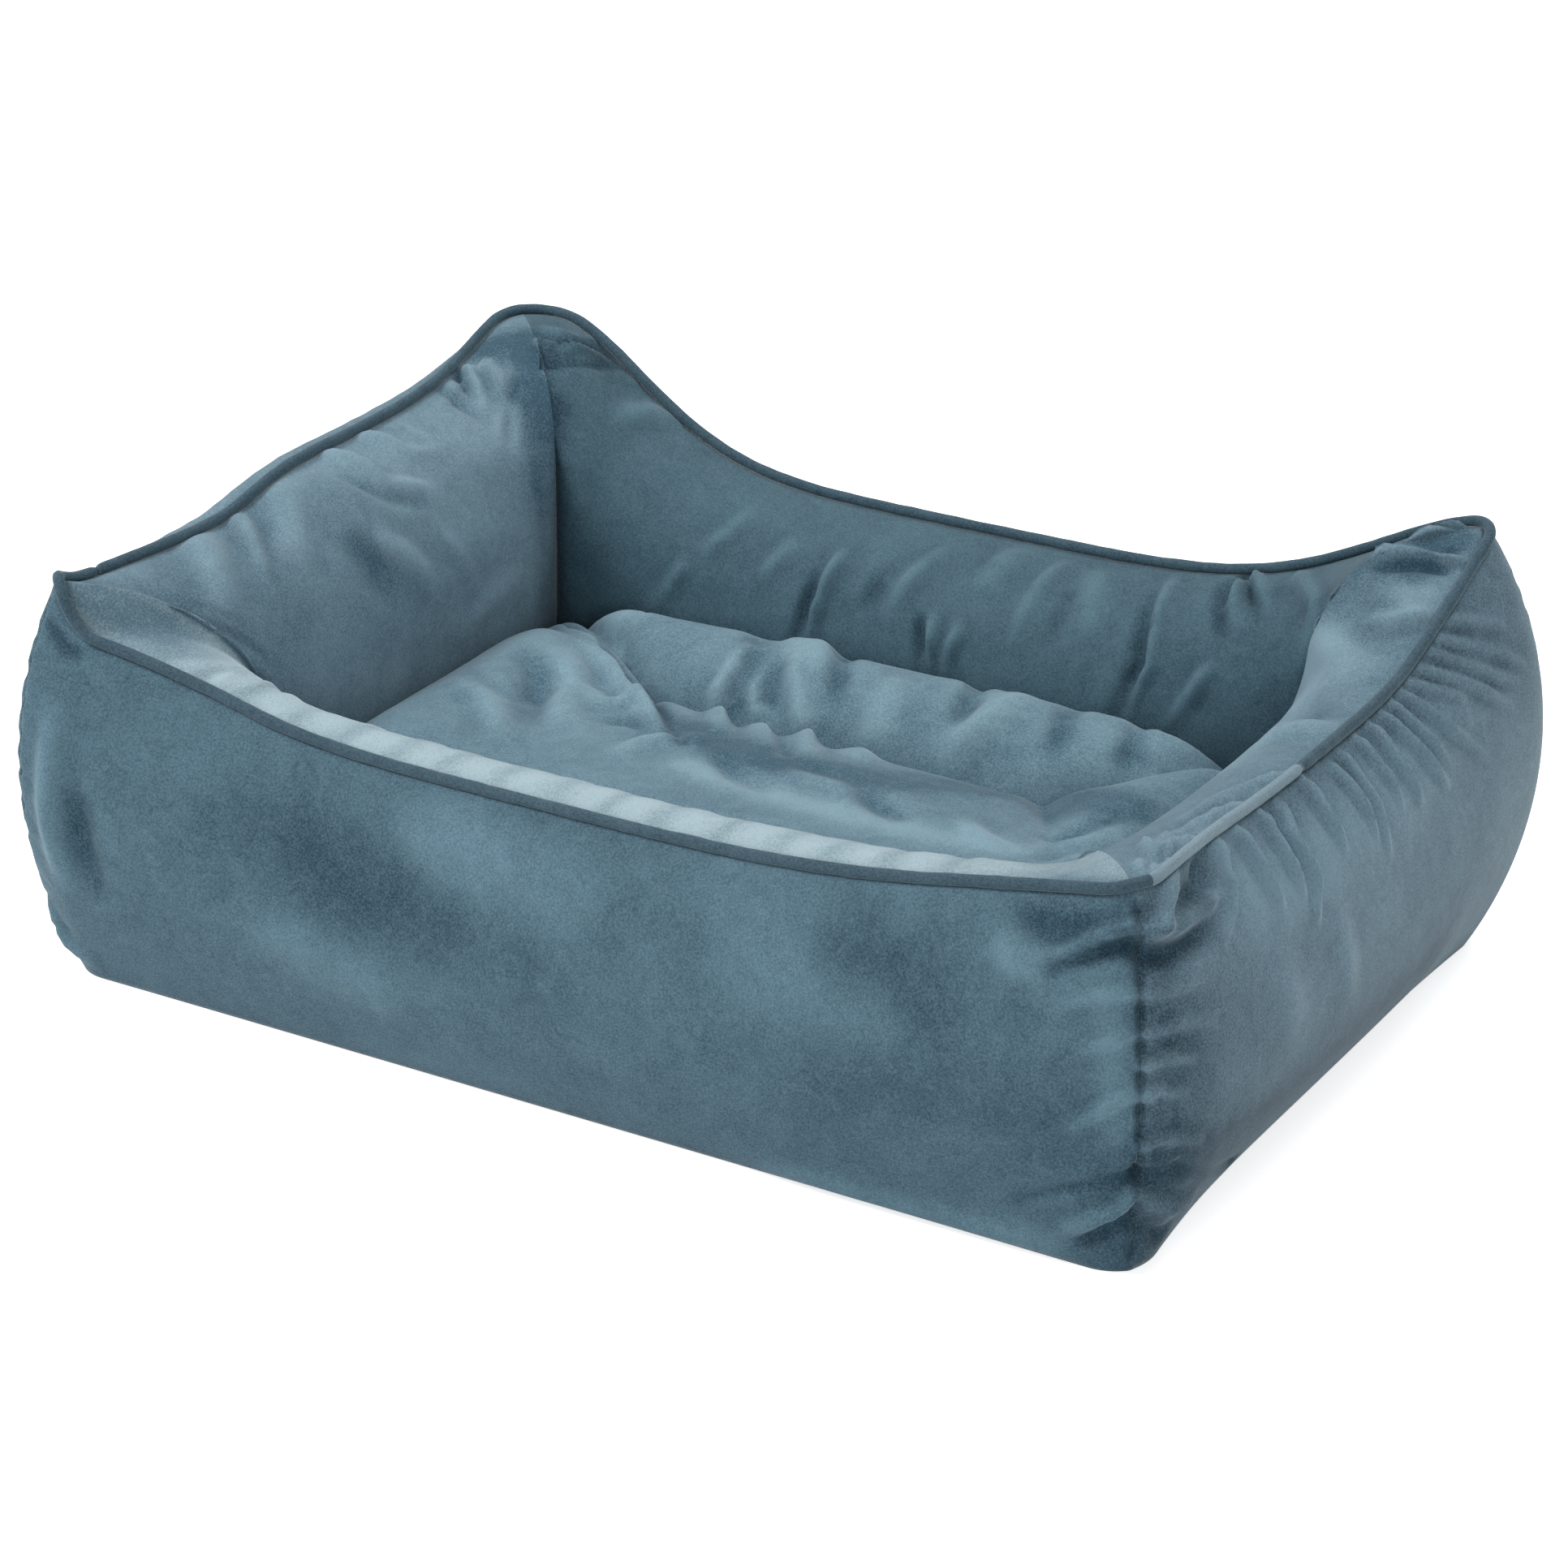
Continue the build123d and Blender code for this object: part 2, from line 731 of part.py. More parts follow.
def box_between(x_low, x_high, y_low, y_high, z_low, z_high, mode=Mode.ADD):
    """Block between two corners."""
    with BuildSketch(Plane.XY.offset(z_low)) as footprint:
        with Locations(((x_low + x_high) / 2, (y_low + y_high) / 2)):
            Rectangle(x_high - x_low, y_high - y_low)
    extrude(footprint.sketch, amount=z_high - z_low, mode=mode)


slider_low_x = slider_x - slider_length / 2
slider_high_x = slider_x + slider_length / 2
bridge_half = slider_length / 2 - slider_end_margin
bridge_under = front_plate_front + bridge_rise
with BuildPart() as zip_slider:
    for low, high in ((slider_back, slider_back + slider_plate), (front_plate_back, front_plate_front)):
        with BuildSketch(Plane(origin=(slider_x, low, cushion_seam_height), x_dir=(1, 0, 0),
                               z_dir=(0, 1, 0))):
            RectangleRounded(slider_length, 2 * slider_half_height, slider_flange)
        extrude(amount=high - low)
    box_between(post_x - slider_post_length / 2, post_x + slider_post_length / 2,
                slider_back + slider_plate / 2, front_plate_back + slider_front_plate / 2,
                cushion_seam_height - slider_post / 2, cushion_seam_height + slider_post / 2)
    for side in (1, -1):
        flange_z = cushion_seam_height + side * flange_middle
        box_between(slider_low_x + slider_flange, slider_high_x - slider_flange,
                    flange_front, front_plate_back + slider_front_plate / 2,
                    flange_z - slider_flange / 2, flange_z + slider_flange / 2)
        box_between(slider_low_x + slider_flange, slider_high_x - slider_flange,
                    slider_back + slider_plate / 2, flange_back,
                    flange_z - slider_flange / 2, flange_z + slider_flange / 2)
    box_between(slider_x - bridge_half, slider_x + bridge_half,
                front_plate_front - slider_front_plate / 2, bridge_under + bridge_thickness,
                cushion_seam_height - bridge_width / 2, cushion_seam_height + bridge_width / 2)
    box_between(slider_x - bridge_half + bridge_leg, slider_x + bridge_half - bridge_leg,
                front_plate_front, bridge_under,
                cushion_seam_height - bridge_width / 2, cushion_seam_height + bridge_width / 2,
                Mode.SUBTRACT)
save(zip_slider, "zip_slider")

# Pull: a round bar under the bridge, two arms and a tab with an eye, lying along the closed chain
pull_x = slider_x
pull_y = front_plate_front + bridge_rise / 2
pull_arm_inner = bridge_width / 2 + running_gap
pull_half_height = pull_arm_inner + pull_arm_width
pull_tab_start = pull_x - pull_arm_length
pull_tab_end = pull_tab_start - pull_tab_length
pull_half_thickness = pull_bar_diameter / 2
with BuildPart() as zip_pull:
    with BuildSketch(Plane(origin=(0, pull_y - pull_half_thickness, cushion_seam_height),
                           x_dir=(-1, 0, 0), z_dir=(0, 1, 0))):
        with Locations((-(pull_x + pull_half_thickness + pull_tab_end) / 2, 0)):
            RectangleRounded(pull_x + pull_half_thickness - pull_tab_end, 2 * pull_half_height,
                             pull_corner_radius)
        with Locations((-(pull_x + pull_half_thickness + pull_tab_start) / 2, 0)):
            Rectangle(pull_x + pull_half_thickness - pull_tab_start, 2 * pull_arm_inner, mode=Mode.SUBTRACT)
        with Locations((-(pull_tab_start + pull_tab_end) / 2, 0)):
            Circle(pull_tab_hole_radius, mode=Mode.SUBTRACT)
    extrude(amount=pull_bar_diameter)
    with BuildSketch(Plane.XY.offset(cushion_seam_height)):
        with Locations((pull_x, pull_y)):
            Circle(pull_half_thickness)
    extrude(amount=pull_half_height, both=True)
save(zip_pull, "zip_pull")

print("nest", round(2 * nest_half_width), "x", round(2 * nest_half_depth))
print("cushion", round(2 * cushion_half_length), "x", round(2 * cushion_half_depth))
print("pull pivot", round(pull_x, 3), round(pull_y, 3), "slider travel",
      round(2 * slider_x, 3), "pull reach", round(pull_x - pull_tab_end, 3))
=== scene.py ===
"""Velvet dog sofa bed: the looks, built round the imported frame.

Metres, Z up, origin on the floor under the middle of the base, front towards -Y.
Four stuffed walls with a piped rim stand on a non-slip base round a loose, zipped cushion.
"""

import logging
import math
from dataclasses import dataclass, field
from enum import Enum
from functools import cache

import bpy
import numpy as np
from mathutils import Euler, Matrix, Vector


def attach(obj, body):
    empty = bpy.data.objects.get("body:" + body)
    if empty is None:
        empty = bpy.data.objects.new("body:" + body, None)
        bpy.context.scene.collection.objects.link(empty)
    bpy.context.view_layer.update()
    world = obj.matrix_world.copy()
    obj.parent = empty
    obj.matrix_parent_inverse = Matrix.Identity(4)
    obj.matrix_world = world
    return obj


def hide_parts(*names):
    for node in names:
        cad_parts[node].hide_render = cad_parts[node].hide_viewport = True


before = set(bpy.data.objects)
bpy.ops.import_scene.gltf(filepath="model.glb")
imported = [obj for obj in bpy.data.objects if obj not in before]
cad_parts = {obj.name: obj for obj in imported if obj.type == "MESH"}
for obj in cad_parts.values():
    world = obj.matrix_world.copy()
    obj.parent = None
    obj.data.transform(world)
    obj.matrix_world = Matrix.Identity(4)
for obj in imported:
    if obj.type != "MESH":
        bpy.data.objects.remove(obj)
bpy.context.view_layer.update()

MM = 0.001
LOG = logging.getLogger("sofa_bed")


# --- Small tools -----------------------------------------------------------------------------


def smooth_share(value: np.ndarray | float, low: float, high: float) -> np.ndarray:
    """Smooth step from 0 where the value is low to 1 where it is high."""
    share = np.clip((np.asarray(value, float) - low) / (high - low), 0, 1)
    return share * share * (3 - 2 * share)


def linear(hex_colour: str) -> tuple[float, float, float, float]:
    """Turn an sRGB colour of six hex digits to linear red, green, blue and alpha."""
    parts = [int(hex_colour[place:place + 2], 16) / 255 for place in (0, 2, 4)]
    red, green, blue = [p / 12.92 if p <= 0.04045 else ((p + 0.055) / 1.055) ** 2.4 for p in parts]
    return red, green, blue, 1.0


def add_node(tree: bpy.types.NodeTree, kind: str, settings: dict | None = None,
             links: dict | None = None) -> bpy.types.Node:
    """Add one node, set it up and link its inputs.

    Args:
        tree: node tree that gets it.
        kind: Blender's name of the node.
        settings: values by property name or input name.
        links: output sockets by input name or number.

    Returns:
        The new node.
    """
    node = tree.nodes.new(kind)
    for name, value in (settings or {}).items():
        if isinstance(name, str) and hasattr(node, name):
            setattr(node, name, value)
        else:
            node.inputs[name].default_value = value
    for name, socket in (links or {}).items():
        tree.links.new(socket, node.inputs[name])
    return node


def mesh_object(name: str, points: np.ndarray, faces: list) -> bpy.types.Object:
    """Make a smooth mesh object whose place is in its mesh.

    Args:
        name: name of the piece.
        points: vertices, one row each.
        faces: vertex numbers of each face.

    Returns:
        The object, linked to the scene.
    """
    mesh = bpy.data.meshes.new(name)
    mesh.from_pydata([tuple(p) for p in points], [], faces)
    mesh.validate()
    mesh.shade_smooth()
    piece = bpy.data.objects.new(name, mesh)
    bpy.context.scene.collection.objects.link(piece)
    return piece


def vertex_rows(mesh: bpy.types.Mesh, kind: str = "co") -> np.ndarray:
    """Read a mesh's vertices, or their normals, as rows of x, y and z."""
    flat = np.zeros(len(mesh.vertices) * 3, np.float32)
    mesh.vertices.foreach_get(kind, flat)
    return flat.reshape(-1, 3).astype(float)


def thicken(piece: bpy.types.Object, thickness: float) -> None:
    """Give a sheet its cloth's thickness, inwards from its face."""
    solid = piece.modifiers.new("Thicken", "SOLIDIFY")
    solid.thickness = thickness
    solid.offset = -1


def grid_faces(rows: int, columns: int, round_rows: bool = False, round_columns: bool = False) -> list:
    """Number the faces between the points of a grid.

    Args:
        rows: how many rows of points it has.
        columns: how many points each row has.
        round_rows: whether the last row joins the first.
        round_columns: whether each row's last point joins its first.

    Returns:
        Four vertex numbers for each face.
    """
    faces = []
    for i in range(rows if round_rows else rows - 1):
        k = (i + 1) % rows
        for j in range(columns if round_columns else columns - 1):
            m = (j + 1) % columns
            faces.append((i * columns + j, k * columns + j, k * columns + m, i * columns + m))
    return faces


def end_faces(rows: int, columns: int) -> list:
    """Number the faces that close a tube of rings at both ends, each towards one more point."""
    faces = []
    first, last = rows * columns, (rows - 1) * columns
    for j in range(columns):
        m = (j + 1) % columns
        faces += [(first, j, m), (first + 1, last + m, last + j)]
    return faces


def unit(rows: np.ndarray) -> np.ndarray:
    """Scale rows to a length of 1."""
    return rows / np.linalg.norm(rows, axis=1, keepdims=True)


def rows_at(places: np.ndarray, known: np.ndarray, rows: np.ndarray) -> np.ndarray:
    """Rows of x, y and z at new places, between those at the known places."""
    return np.stack([np.interp(places, known, rows[:, axis]) for axis in range(3)], axis=1)


def wall_named(name: str) -> "Wall":
    """The wall of that name."""
    return next(wall for wall in WALLS if wall.name == name)


def grid_normals(points: np.ndarray, closed: tuple[bool, bool]) -> np.ndarray:
    """Work out a normal for each point of a grid.

    Args:
        points: grid of points, rows by columns by 3.
        closed: whether the rows and the columns run round.

    Returns:
        Unit normals in the same grid.
    """
    steps = []
    for axis, round_it in enumerate(closed):
        if round_it:
            step = np.roll(points, -1, axis) - np.roll(points, 1, axis)
        else:
            step = np.gradient(points, axis=axis)
        steps.append(step)
    normal = np.cross(steps[0], steps[1])
    return normal / np.maximum(np.linalg.norm(normal, axis=-1, keepdims=True), 1e-12)


def refined(points: np.ndarray, axis: int, round_it: bool) -> np.ndarray:
    """Put a smooth new line between each two lines of a grid.

    Args:
        points: grid of points, rows by columns by 3.
        axis: 0 to add rows, 1 to add columns.
        round_it: whether the lines run round.

    Returns:
        The finer grid.
    """
    lines = np.moveaxis(points, axis, 0)
    if round_it:
        before, after, beyond = np.roll(lines, 1, 0), np.roll(lines, -1, 0), np.roll(lines, -2, 0)
    else:
        ends = np.concatenate([[2 * lines[0] - lines[1]], lines, [2 * lines[-1] - lines[-2]]])
        before, after, beyond = ends[:-3], lines[1:], ends[3:]
        lines = lines[:-1]
    between = (9 * (lines + after) - before - beyond) / 16
    finer = np.stack([lines, between], axis=1).reshape(-1, *lines.shape[1:])
    if not round_it:
        finer = np.concatenate([finer, after[-1:]])
    return np.moveaxis(finer, 0, axis)


def along_path(points: np.ndarray, path: tuple, reach: float) -> tuple:
    """Find the points close to a path, how far off it they are and how far along it.

    Args:
        points: rows of x, y and z.
        path: x, y and z of each of its points, in millimetres.
        reach: how far off the path still counts.

    Returns:
        Which points are close, and for those the distance and the share of the path.
    """
    path = np.array(path, float).reshape(-1, 3) * MM
    close = np.all((points > path.min(0) - reach) & (points < path.max(0) + reach), axis=1)
    points = points[close]
    runs = np.diff(path, axis=0)
    lengths = np.linalg.norm(runs, axis=1)
    before = np.concatenate([[0], np.cumsum(lengths)])
    nearest = np.full(len(points), np.inf)
    along = np.zeros(len(points))
    for start, run, length, done in zip(path, runs, lengths, before):
        share = np.clip(((points - start) @ run) / length**2, 0, 1)
        gap = np.linalg.norm(points - start - share[:, None] * run, axis=1)
        closer = gap < nearest
        nearest = np.where(closer, gap, nearest)
        along = np.where(closer, done + share * length, along)
    return close, nearest, along / before[-1]


# How much of a fold's length it takes to rise from its end to its full height
FADE_SHARE = 0.45


@dataclass(frozen=True)
class Fold:
    """A fold sewn or pressed into cloth: a ridge, or a hollow where its height is negative.

    The path holds x, y and z of each of its points, in millimetres in the bed's frame, and the fold
    thins out towards its ends, less so with a start or end share.
    """

    path: tuple
    width: float
    height: float
    start_share: float = 0.0
    end_share: float = 0.0

    def lift(self, points: np.ndarray) -> np.ndarray:
        """Say how far the fold lifts each row of points, in metres."""
        lift = np.zeros(len(points))
        close, gap, share = along_path(points, self.path, 4 * self.width * MM)
        start = np.sin(math.pi / 2 * np.clip(share / FADE_SHARE + self.start_share, 0, 1))
        end = np.sin(math.pi / 2 * np.clip((1 - share) / FADE_SHARE + self.end_share, 0, 1))
        gap = gap / (self.width * MM)
        crest = 1.3 * np.exp(-(gap**2)) - 0.3 * np.exp(-((gap / 2.3) ** 2))
        lift[close] = self.height * MM * start * end * crest
        return lift


@dataclass(frozen=True)
class ShadingAndPileStreak:
    """A streak that reads lighter, or darker for a tone below 0: painted light and shade where a place is lit
    or shaded, and elsewhere pile stroked another way.
    """

    path: tuple
    width: float
    tone: float

    def tint(self, points: np.ndarray) -> np.ndarray:
        """Say how much lighter the streak makes each row of points."""
        tint = np.zeros(len(points))
        close, gap, _ = along_path(points, self.path, 3 * self.width * MM)
        tint[close] = self.tone * np.exp(-((gap / (self.width * MM)) ** 2))
        return tint


def total_lift(folds: tuple, points: np.ndarray) -> np.ndarray:
    """Say how far all the folds together lift each row of points, in metres."""
    return sum((fold.lift(points) for fold in folds), np.zeros(len(points)))


def pile_and_shading_of(points: np.ndarray, lift: np.ndarray, streaks: tuple) -> np.ndarray:
    """Say how light each point reads: 0 darkest, 1 lightest, with painted shade in fold hollows, painted
    highlights on fold ridges and the streaks.

    Args:
        points: rows of x, y and z, in metres.
        lift: how far folds lift each point, in metres.
        streaks: the streaks of painted light and shade and of pile tone on this piece.

    Returns:
        One share per row.
    """
    tint = sum((streak.tint(points) for streak in streaks), np.zeros(len(points)))
    # Painted shade and highlight: hollows darken and ridges lighten with how far the folds lift the cloth.
    return np.clip(0.5 + 0.34 * np.tanh(lift / (3.4 * MM)) + tint, 0.08, 0.95)


def put_pile_and_shading(piece: bpy.types.Object, pile_and_shading: np.ndarray) -> None:
    """Write the painted light and shade with the pile tone to a piece's vertices, one share for each."""
    layer = piece.data.attributes.new("pile_and_shading", "FLOAT", "POINT")
    layer.data.foreach_set("value", pile_and_shading.astype(np.float32))


# The simulated velvet: its mass, stiffness and damping, the stuffing's pressure and the vertex groups
CLOTH = {
    "quality": 4, "mass": 0.3, "air_damping": 1.0,
    "tension_stiffness": 15, "compression_stiffness": 15, "shear_stiffness": 5, "bending_stiffness": 0.1,
    "tension_damping": 5.0, "compression_damping": 5.0, "shear_damping": 5.0, "bending_damping": 0.5,
    "use_pressure": True, "uniform_pressure_force": 140.0,
    "vertex_group_mass": "held", "vertex_group_shrink": "ease", "shrink_min": 0.0,
}
CLOTH_FRAMES = 16


def relax_cloth(points: np.ndarray, faces: list, held: np.ndarray, ease: np.ndarray,
                cap: np.ndarray) -> np.ndarray:
    """Fill a closed cloth with pressure, with spare cloth where it was eased, and read where it settles.

    Args:
        points: vertices of the closed cloth.
        faces: its faces.
        held: how firmly each vertex is sewn down, 0 to 1.
        ease: how much longer the cloth is cut at each vertex than the form, as a share.
        cap: how far each vertex may go, in metres.

    Returns:
        The settled vertices.
    """
    piece = mesh_object("settling_cloth", points, faces)
    rest = vertex_rows(piece.data)
    for name, shares in (("held", held), ("ease", ease / max(float(ease.max()), 1e-6))):
        group = piece.vertex_groups.new(name=name)
        levels = np.round(np.clip(shares, 0, 1) * 40) / 40
        for level in np.unique(levels):
            group.add(np.flatnonzero(levels == level).tolist(), float(level), "REPLACE")
    cloth = piece.modifiers.new("Cloth", "CLOTH")
    for name, value in CLOTH.items():
        setattr(cloth.settings, name, value)
    cloth.settings.shrink_max = -float(ease.max())
    cloth.settings.effector_weights.gravity = 0.0
    cloth.collision_settings.use_collision = False
    cloth.point_cache.frame_start = 1
    cloth.point_cache.frame_end = CLOTH_FRAMES
    scene = bpy.context.scene
    for step in range(1, CLOTH_FRAMES + 1):
        scene.frame_set(step)
    settled = vertex_rows(piece.evaluated_get(bpy.context.evaluated_depsgraph_get()).data)
    piece.modifiers.remove(cloth)
    scene.frame_set(1)
    bpy.data.objects.remove(piece)
    move = settled - rest
    reach = np.linalg.norm(move, axis=1)
    allowed = cap * np.tanh(reach / np.maximum(cap, 1e-9))
    return rest + move * (allowed / np.maximum(reach, 1e-9))[:, None]


# --- Repeated small pieces -------------------------------------------------------------------


def turned_piece(name: str, rings: tuple, sides: int, axis: int) -> bpy.types.Object:
    """Turn a small closed piece round an axis through the origin.

    Args:
        name: name of the piece.
        rings: place along the axis and radius of each ring, in metres.
        sides: how many sides it has.
        axis: 0 for the x axis, 2 for the z axis.

    Returns:
        The piece.
    """
    turns = np.linspace(0, 2 * math.pi, sides, endpoint=False)
    points = np.array([(place, radius * math.cos(turn), radius * math.sin(turn))
                       for place, radius in rings for turn in turns])
    last = (len(rings) - 1) * sides
    faces = [tuple(range(sides))[::-1], tuple(range(last, last + sides))]
    for low in range(0, last, sides):
        for j in range(sides):
            m = (j + 1) % sides
            faces.append((low + j, low + m, low + sides + m, low + sides + j))
    return mesh_object(name, np.roll(points, axis, axis=1), faces)


def node_group(name: str, inputs: dict) -> tuple[bpy.types.NodeTree, bpy.types.Node]:
    """Start a geometry node group with a Piece, a Material and more named inputs.

    Args:
        name: name of the group.
        inputs: kind of each of the other inputs, by name.

    Returns:
        The group and its input node.
    """
    tree = bpy.data.node_groups.new(name, "GeometryNodeTree")
    for label, kind in {"Piece": "Geometry", **inputs, "Material": "Material"}.items():
        tree.interface.new_socket(label, in_out="INPUT", socket_type=f"NodeSocket{kind}")
    tree.interface.new_socket("Pieces", in_out="OUTPUT", socket_type="NodeSocketGeometry")
    return tree, tree.nodes.new("NodeGroupInput")


def set_out(tree: bpy.types.NodeTree, given: bpy.types.Node, points: bpy.types.NodeSocket) -> None:
    """End a node group: the piece on every point, made real, with its material.

    Args:
        tree: the group.
        given: its input node, with a Piece and a Material.
        points: where the pieces go.
    """
    placed = add_node(tree, "GeometryNodeInstanceOnPoints",
                      links={"Points": points, "Instance": given.outputs["Piece"]})
    real = add_node(tree, "GeometryNodeRealizeInstances", links={"Geometry": placed.outputs["Instances"]})
    coated = add_node(tree, "GeometryNodeSetMaterial", links={
        "Geometry": real.outputs["Geometry"], "Material": given.outputs["Material"]})
    add_node(tree, "NodeGroupOutput", links={"Pieces": coated.outputs["Geometry"]})


def row_group() -> bpy.types.NodeTree:
    """Node group that repeats a piece along a straight line at even steps."""
    tree, given = node_group("row_of_pieces", {"Start": "Vector", "End": "Vector", "Spacing": "Float"})
    line = add_node(tree, "GeometryNodeCurvePrimitiveLine",
                    links={"Start": given.outputs["Start"], "End": given.outputs["End"]})
    spots = add_node(tree, "GeometryNodeCurveToPoints", {"mode": "LENGTH"},
                     {"Curve": line.outputs["Curve"], "Length": given.outputs["Spacing"]})
    set_out(tree, given, spots.outputs["Points"])
    return tree


def field_group() -> bpy.types.NodeTree:
    """Node group that repeats a piece in a square grid, wherever a surface lies above it."""
    tree, given = node_group("field_of_pieces", {
        "Surface": "Object", "Width": "Float", "Depth": "Float", "Columns": "Int", "Rows": "Int"})
    surface = add_node(tree, "GeometryNodeObjectInfo", links={"Object": given.outputs["Surface"]})
    grid = add_node(tree, "GeometryNodeMeshGrid", links={
        "Size X": given.outputs["Width"], "Size Y": given.outputs["Depth"],
        "Vertices X": given.outputs["Columns"], "Vertices Y": given.outputs["Rows"],
    })
    ray = add_node(tree, "GeometryNodeRaycast", {"Ray Direction": (0, 0, 1), "Ray Length": 0.01},
                   {"Target Geometry": surface.outputs["Geometry"]})
    off = add_node(tree, "FunctionNodeBooleanMath", {"operation": "NOT"}, {0: ray.outputs["Is Hit"]})
    kept = add_node(tree, "GeometryNodeDeleteGeometry", links={
        "Geometry": grid.outputs["Mesh"], "Selection": off.outputs[0]})
    set_out(tree, given, kept.outputs["Geometry"])
    return tree


def bake_nodes(piece: bpy.types.Object, tree: bpy.types.NodeTree, values: dict) -> None:
    """Run a node group on a piece and keep the result as a plain mesh.

    Args:
        piece: mesh object with the single small piece; gets all of them.
        tree: the node group.
        values: value of each of its inputs, by name.
    """
    modifier = piece.modifiers.new("Repeat", "NODES")
    modifier.node_group = tree
    for item in tree.interface.items_tree:
        if item.in_out == "INPUT" and item.name in values:
            modifier[item.identifier] = values[item.name]
    piece.update_tag()
    graph = bpy.context.evaluated_depsgraph_get()
    baked = bpy.data.meshes.new_from_object(piece.evaluated_get(graph), depsgraph=graph)
    piece.modifiers.remove(modifier)
    piece.data = baked


# --- Finishes --------------------------------------------------------------------------------


def new_material(name: str) -> tuple[bpy.types.Material, bpy.types.NodeTree]:
    """Start a material with an empty node tree."""
    material = bpy.data.materials.new(name)
    material.use_nodes = True
    material.node_tree.nodes.clear()
    return material, material.node_tree


def noise(tree: bpy.types.NodeTree, place: bpy.types.NodeSocket, size: float, detail: float,
          roughness: float, distortion: float = 0.0) -> bpy.types.NodeSocket:
    """Add a noise whose spots have about the given size, and give its share."""
    return add_node(tree, "ShaderNodeTexNoise", {
        "Scale": 1 / size, "Detail": detail, "Roughness": roughness, "Distortion": distortion,
    }, {"Vector": place}).outputs["Fac"]


def coat(tree: bpy.types.NodeTree, tones: tuple[str, str], share: bpy.types.NodeSocket,
         height: bpy.types.NodeSocket, relief: dict, settings: dict) -> None:
    """End a material: a colour between two tones, a relief and the surface itself.

    Args:
        tree: node tree of the material.
        tones: hex colours at a share of 0 and of 1.
        share: which tone shows.
        height: height of the relief.
        relief: strength and distance of the relief.
        settings: values of the surface, by input name.
    """
    colour = add_node(tree, "ShaderNodeMix", {"data_type": "RGBA"}, {0: share})
    colour.inputs[6].default_value = linear(tones[0])
    colour.inputs[7].default_value = linear(tones[1])
    bump = add_node(tree, "ShaderNodeBump", relief, {"Height": height})
    shader = add_node(tree, "ShaderNodeBsdfPrincipled", settings,
                      {"Base Color": colour.outputs[2], "Normal": bump.outputs["Normal"]})
    add_node(tree, "ShaderNodeOutputMaterial", links={"Surface": shader.outputs["BSDF"]})


@dataclass(frozen=True)
class PolyesterVelvet:
    """Knitted polyester velvet with a short brushed pile.

    The pile lies in soft patches that read lighter or darker by the way it was stroked, its tips
    sparkle in a fine grain, and it glows pale where the cloth turns away from the eye. Between its shaded and
    lit tones it also takes each piece's painted light and shade from an attribute.
    """

    name: str
    shaded_pile: str
    lit_pile: str
    glow: float = 0.55
    patch: float = 55 * MM
    streak: float = 16 * MM
    grain: float = 1.3 * MM
    patch_swing: float = 0.06
    stroke_swing: float = 0.08
    grain_swing: float = 0.26

    def make(self) -> bpy.types.Material:
        """Build the material."""
        material, tree = new_material(self.name)
        place = add_node(tree, "ShaderNodeTexCoord").outputs["Object"]
        # Pile tips are about 0.3 mm apart: the grain is as fine as the render can show.
        grain = noise(tree, place, self.grain, 3.0, 0.75)
        layers = (
            (noise(tree, place, self.patch, 2.5, 0.5, 0.6), 0.34, self.patch_swing),
            (noise(tree, place, self.streak, 3.0, 0.55, 1.2), 0.3, self.stroke_swing),
            (grain, 0.34, self.grain_swing),
        )
        # Painted light and shade come in through this attribute: shade in fold hollows, highlights on fold
        # ridges and the streaks; the noises below add random pile tone.
        pile_and_shading_tone = add_node(tree, "ShaderNodeAttribute", {"attribute_name": "pile_and_shading"}).outputs["Fac"]
        for layer, low, swing in layers:
            spread = add_node(tree, "ShaderNodeMapRange", {
                "From Min": low, "From Max": 1 - low, "To Min": -swing, "To Max": swing,
            }, {"Value": layer})
            pile_and_shading_tone = add_node(tree, "ShaderNodeMath", {"operation": "ADD", "use_clamp": layer is grain},
                            {0: pile_and_shading_tone, 1: spread.outputs["Result"]}).outputs["Value"]
        coat(tree, (self.shaded_pile, self.lit_pile), pile_and_shading_tone, grain, {"Strength": 0.6, "Distance": 0.5 * MM}, {
            "Roughness": 0.82, "Sheen Weight": self.glow, "Sheen Roughness": 0.34,
            "Sheen Tint": linear("dbe8ef"), "Specular IOR Level": 0.15,
        })
        return material


@dataclass(frozen=True)
class PlainStock:
    """A plain stock with one soft speckle, such as moulded nylon, cotton cord or staple fibre.

    Its colour drifts a little between two tones, so that it never reads as flat paint.
    """

    name: str
    dark: str
    light: str
    speckle: float
    roughness: float
    metallic: float = 0.0
    relief: float = 0.1 * MM

    def make(self) -> bpy.types.Material:
        """Build the material."""
        material, tree = new_material(self.name)
        place = add_node(tree, "ShaderNodeTexCoord").outputs["Object"]
        drift = noise(tree, place, self.speckle, 4.0, 0.6)
        coat(tree, (self.dark, self.light), drift, drift, {"Strength": 0.3, "Distance": self.relief},
             {"Roughness": self.roughness, "Metallic": self.metallic})
        return material


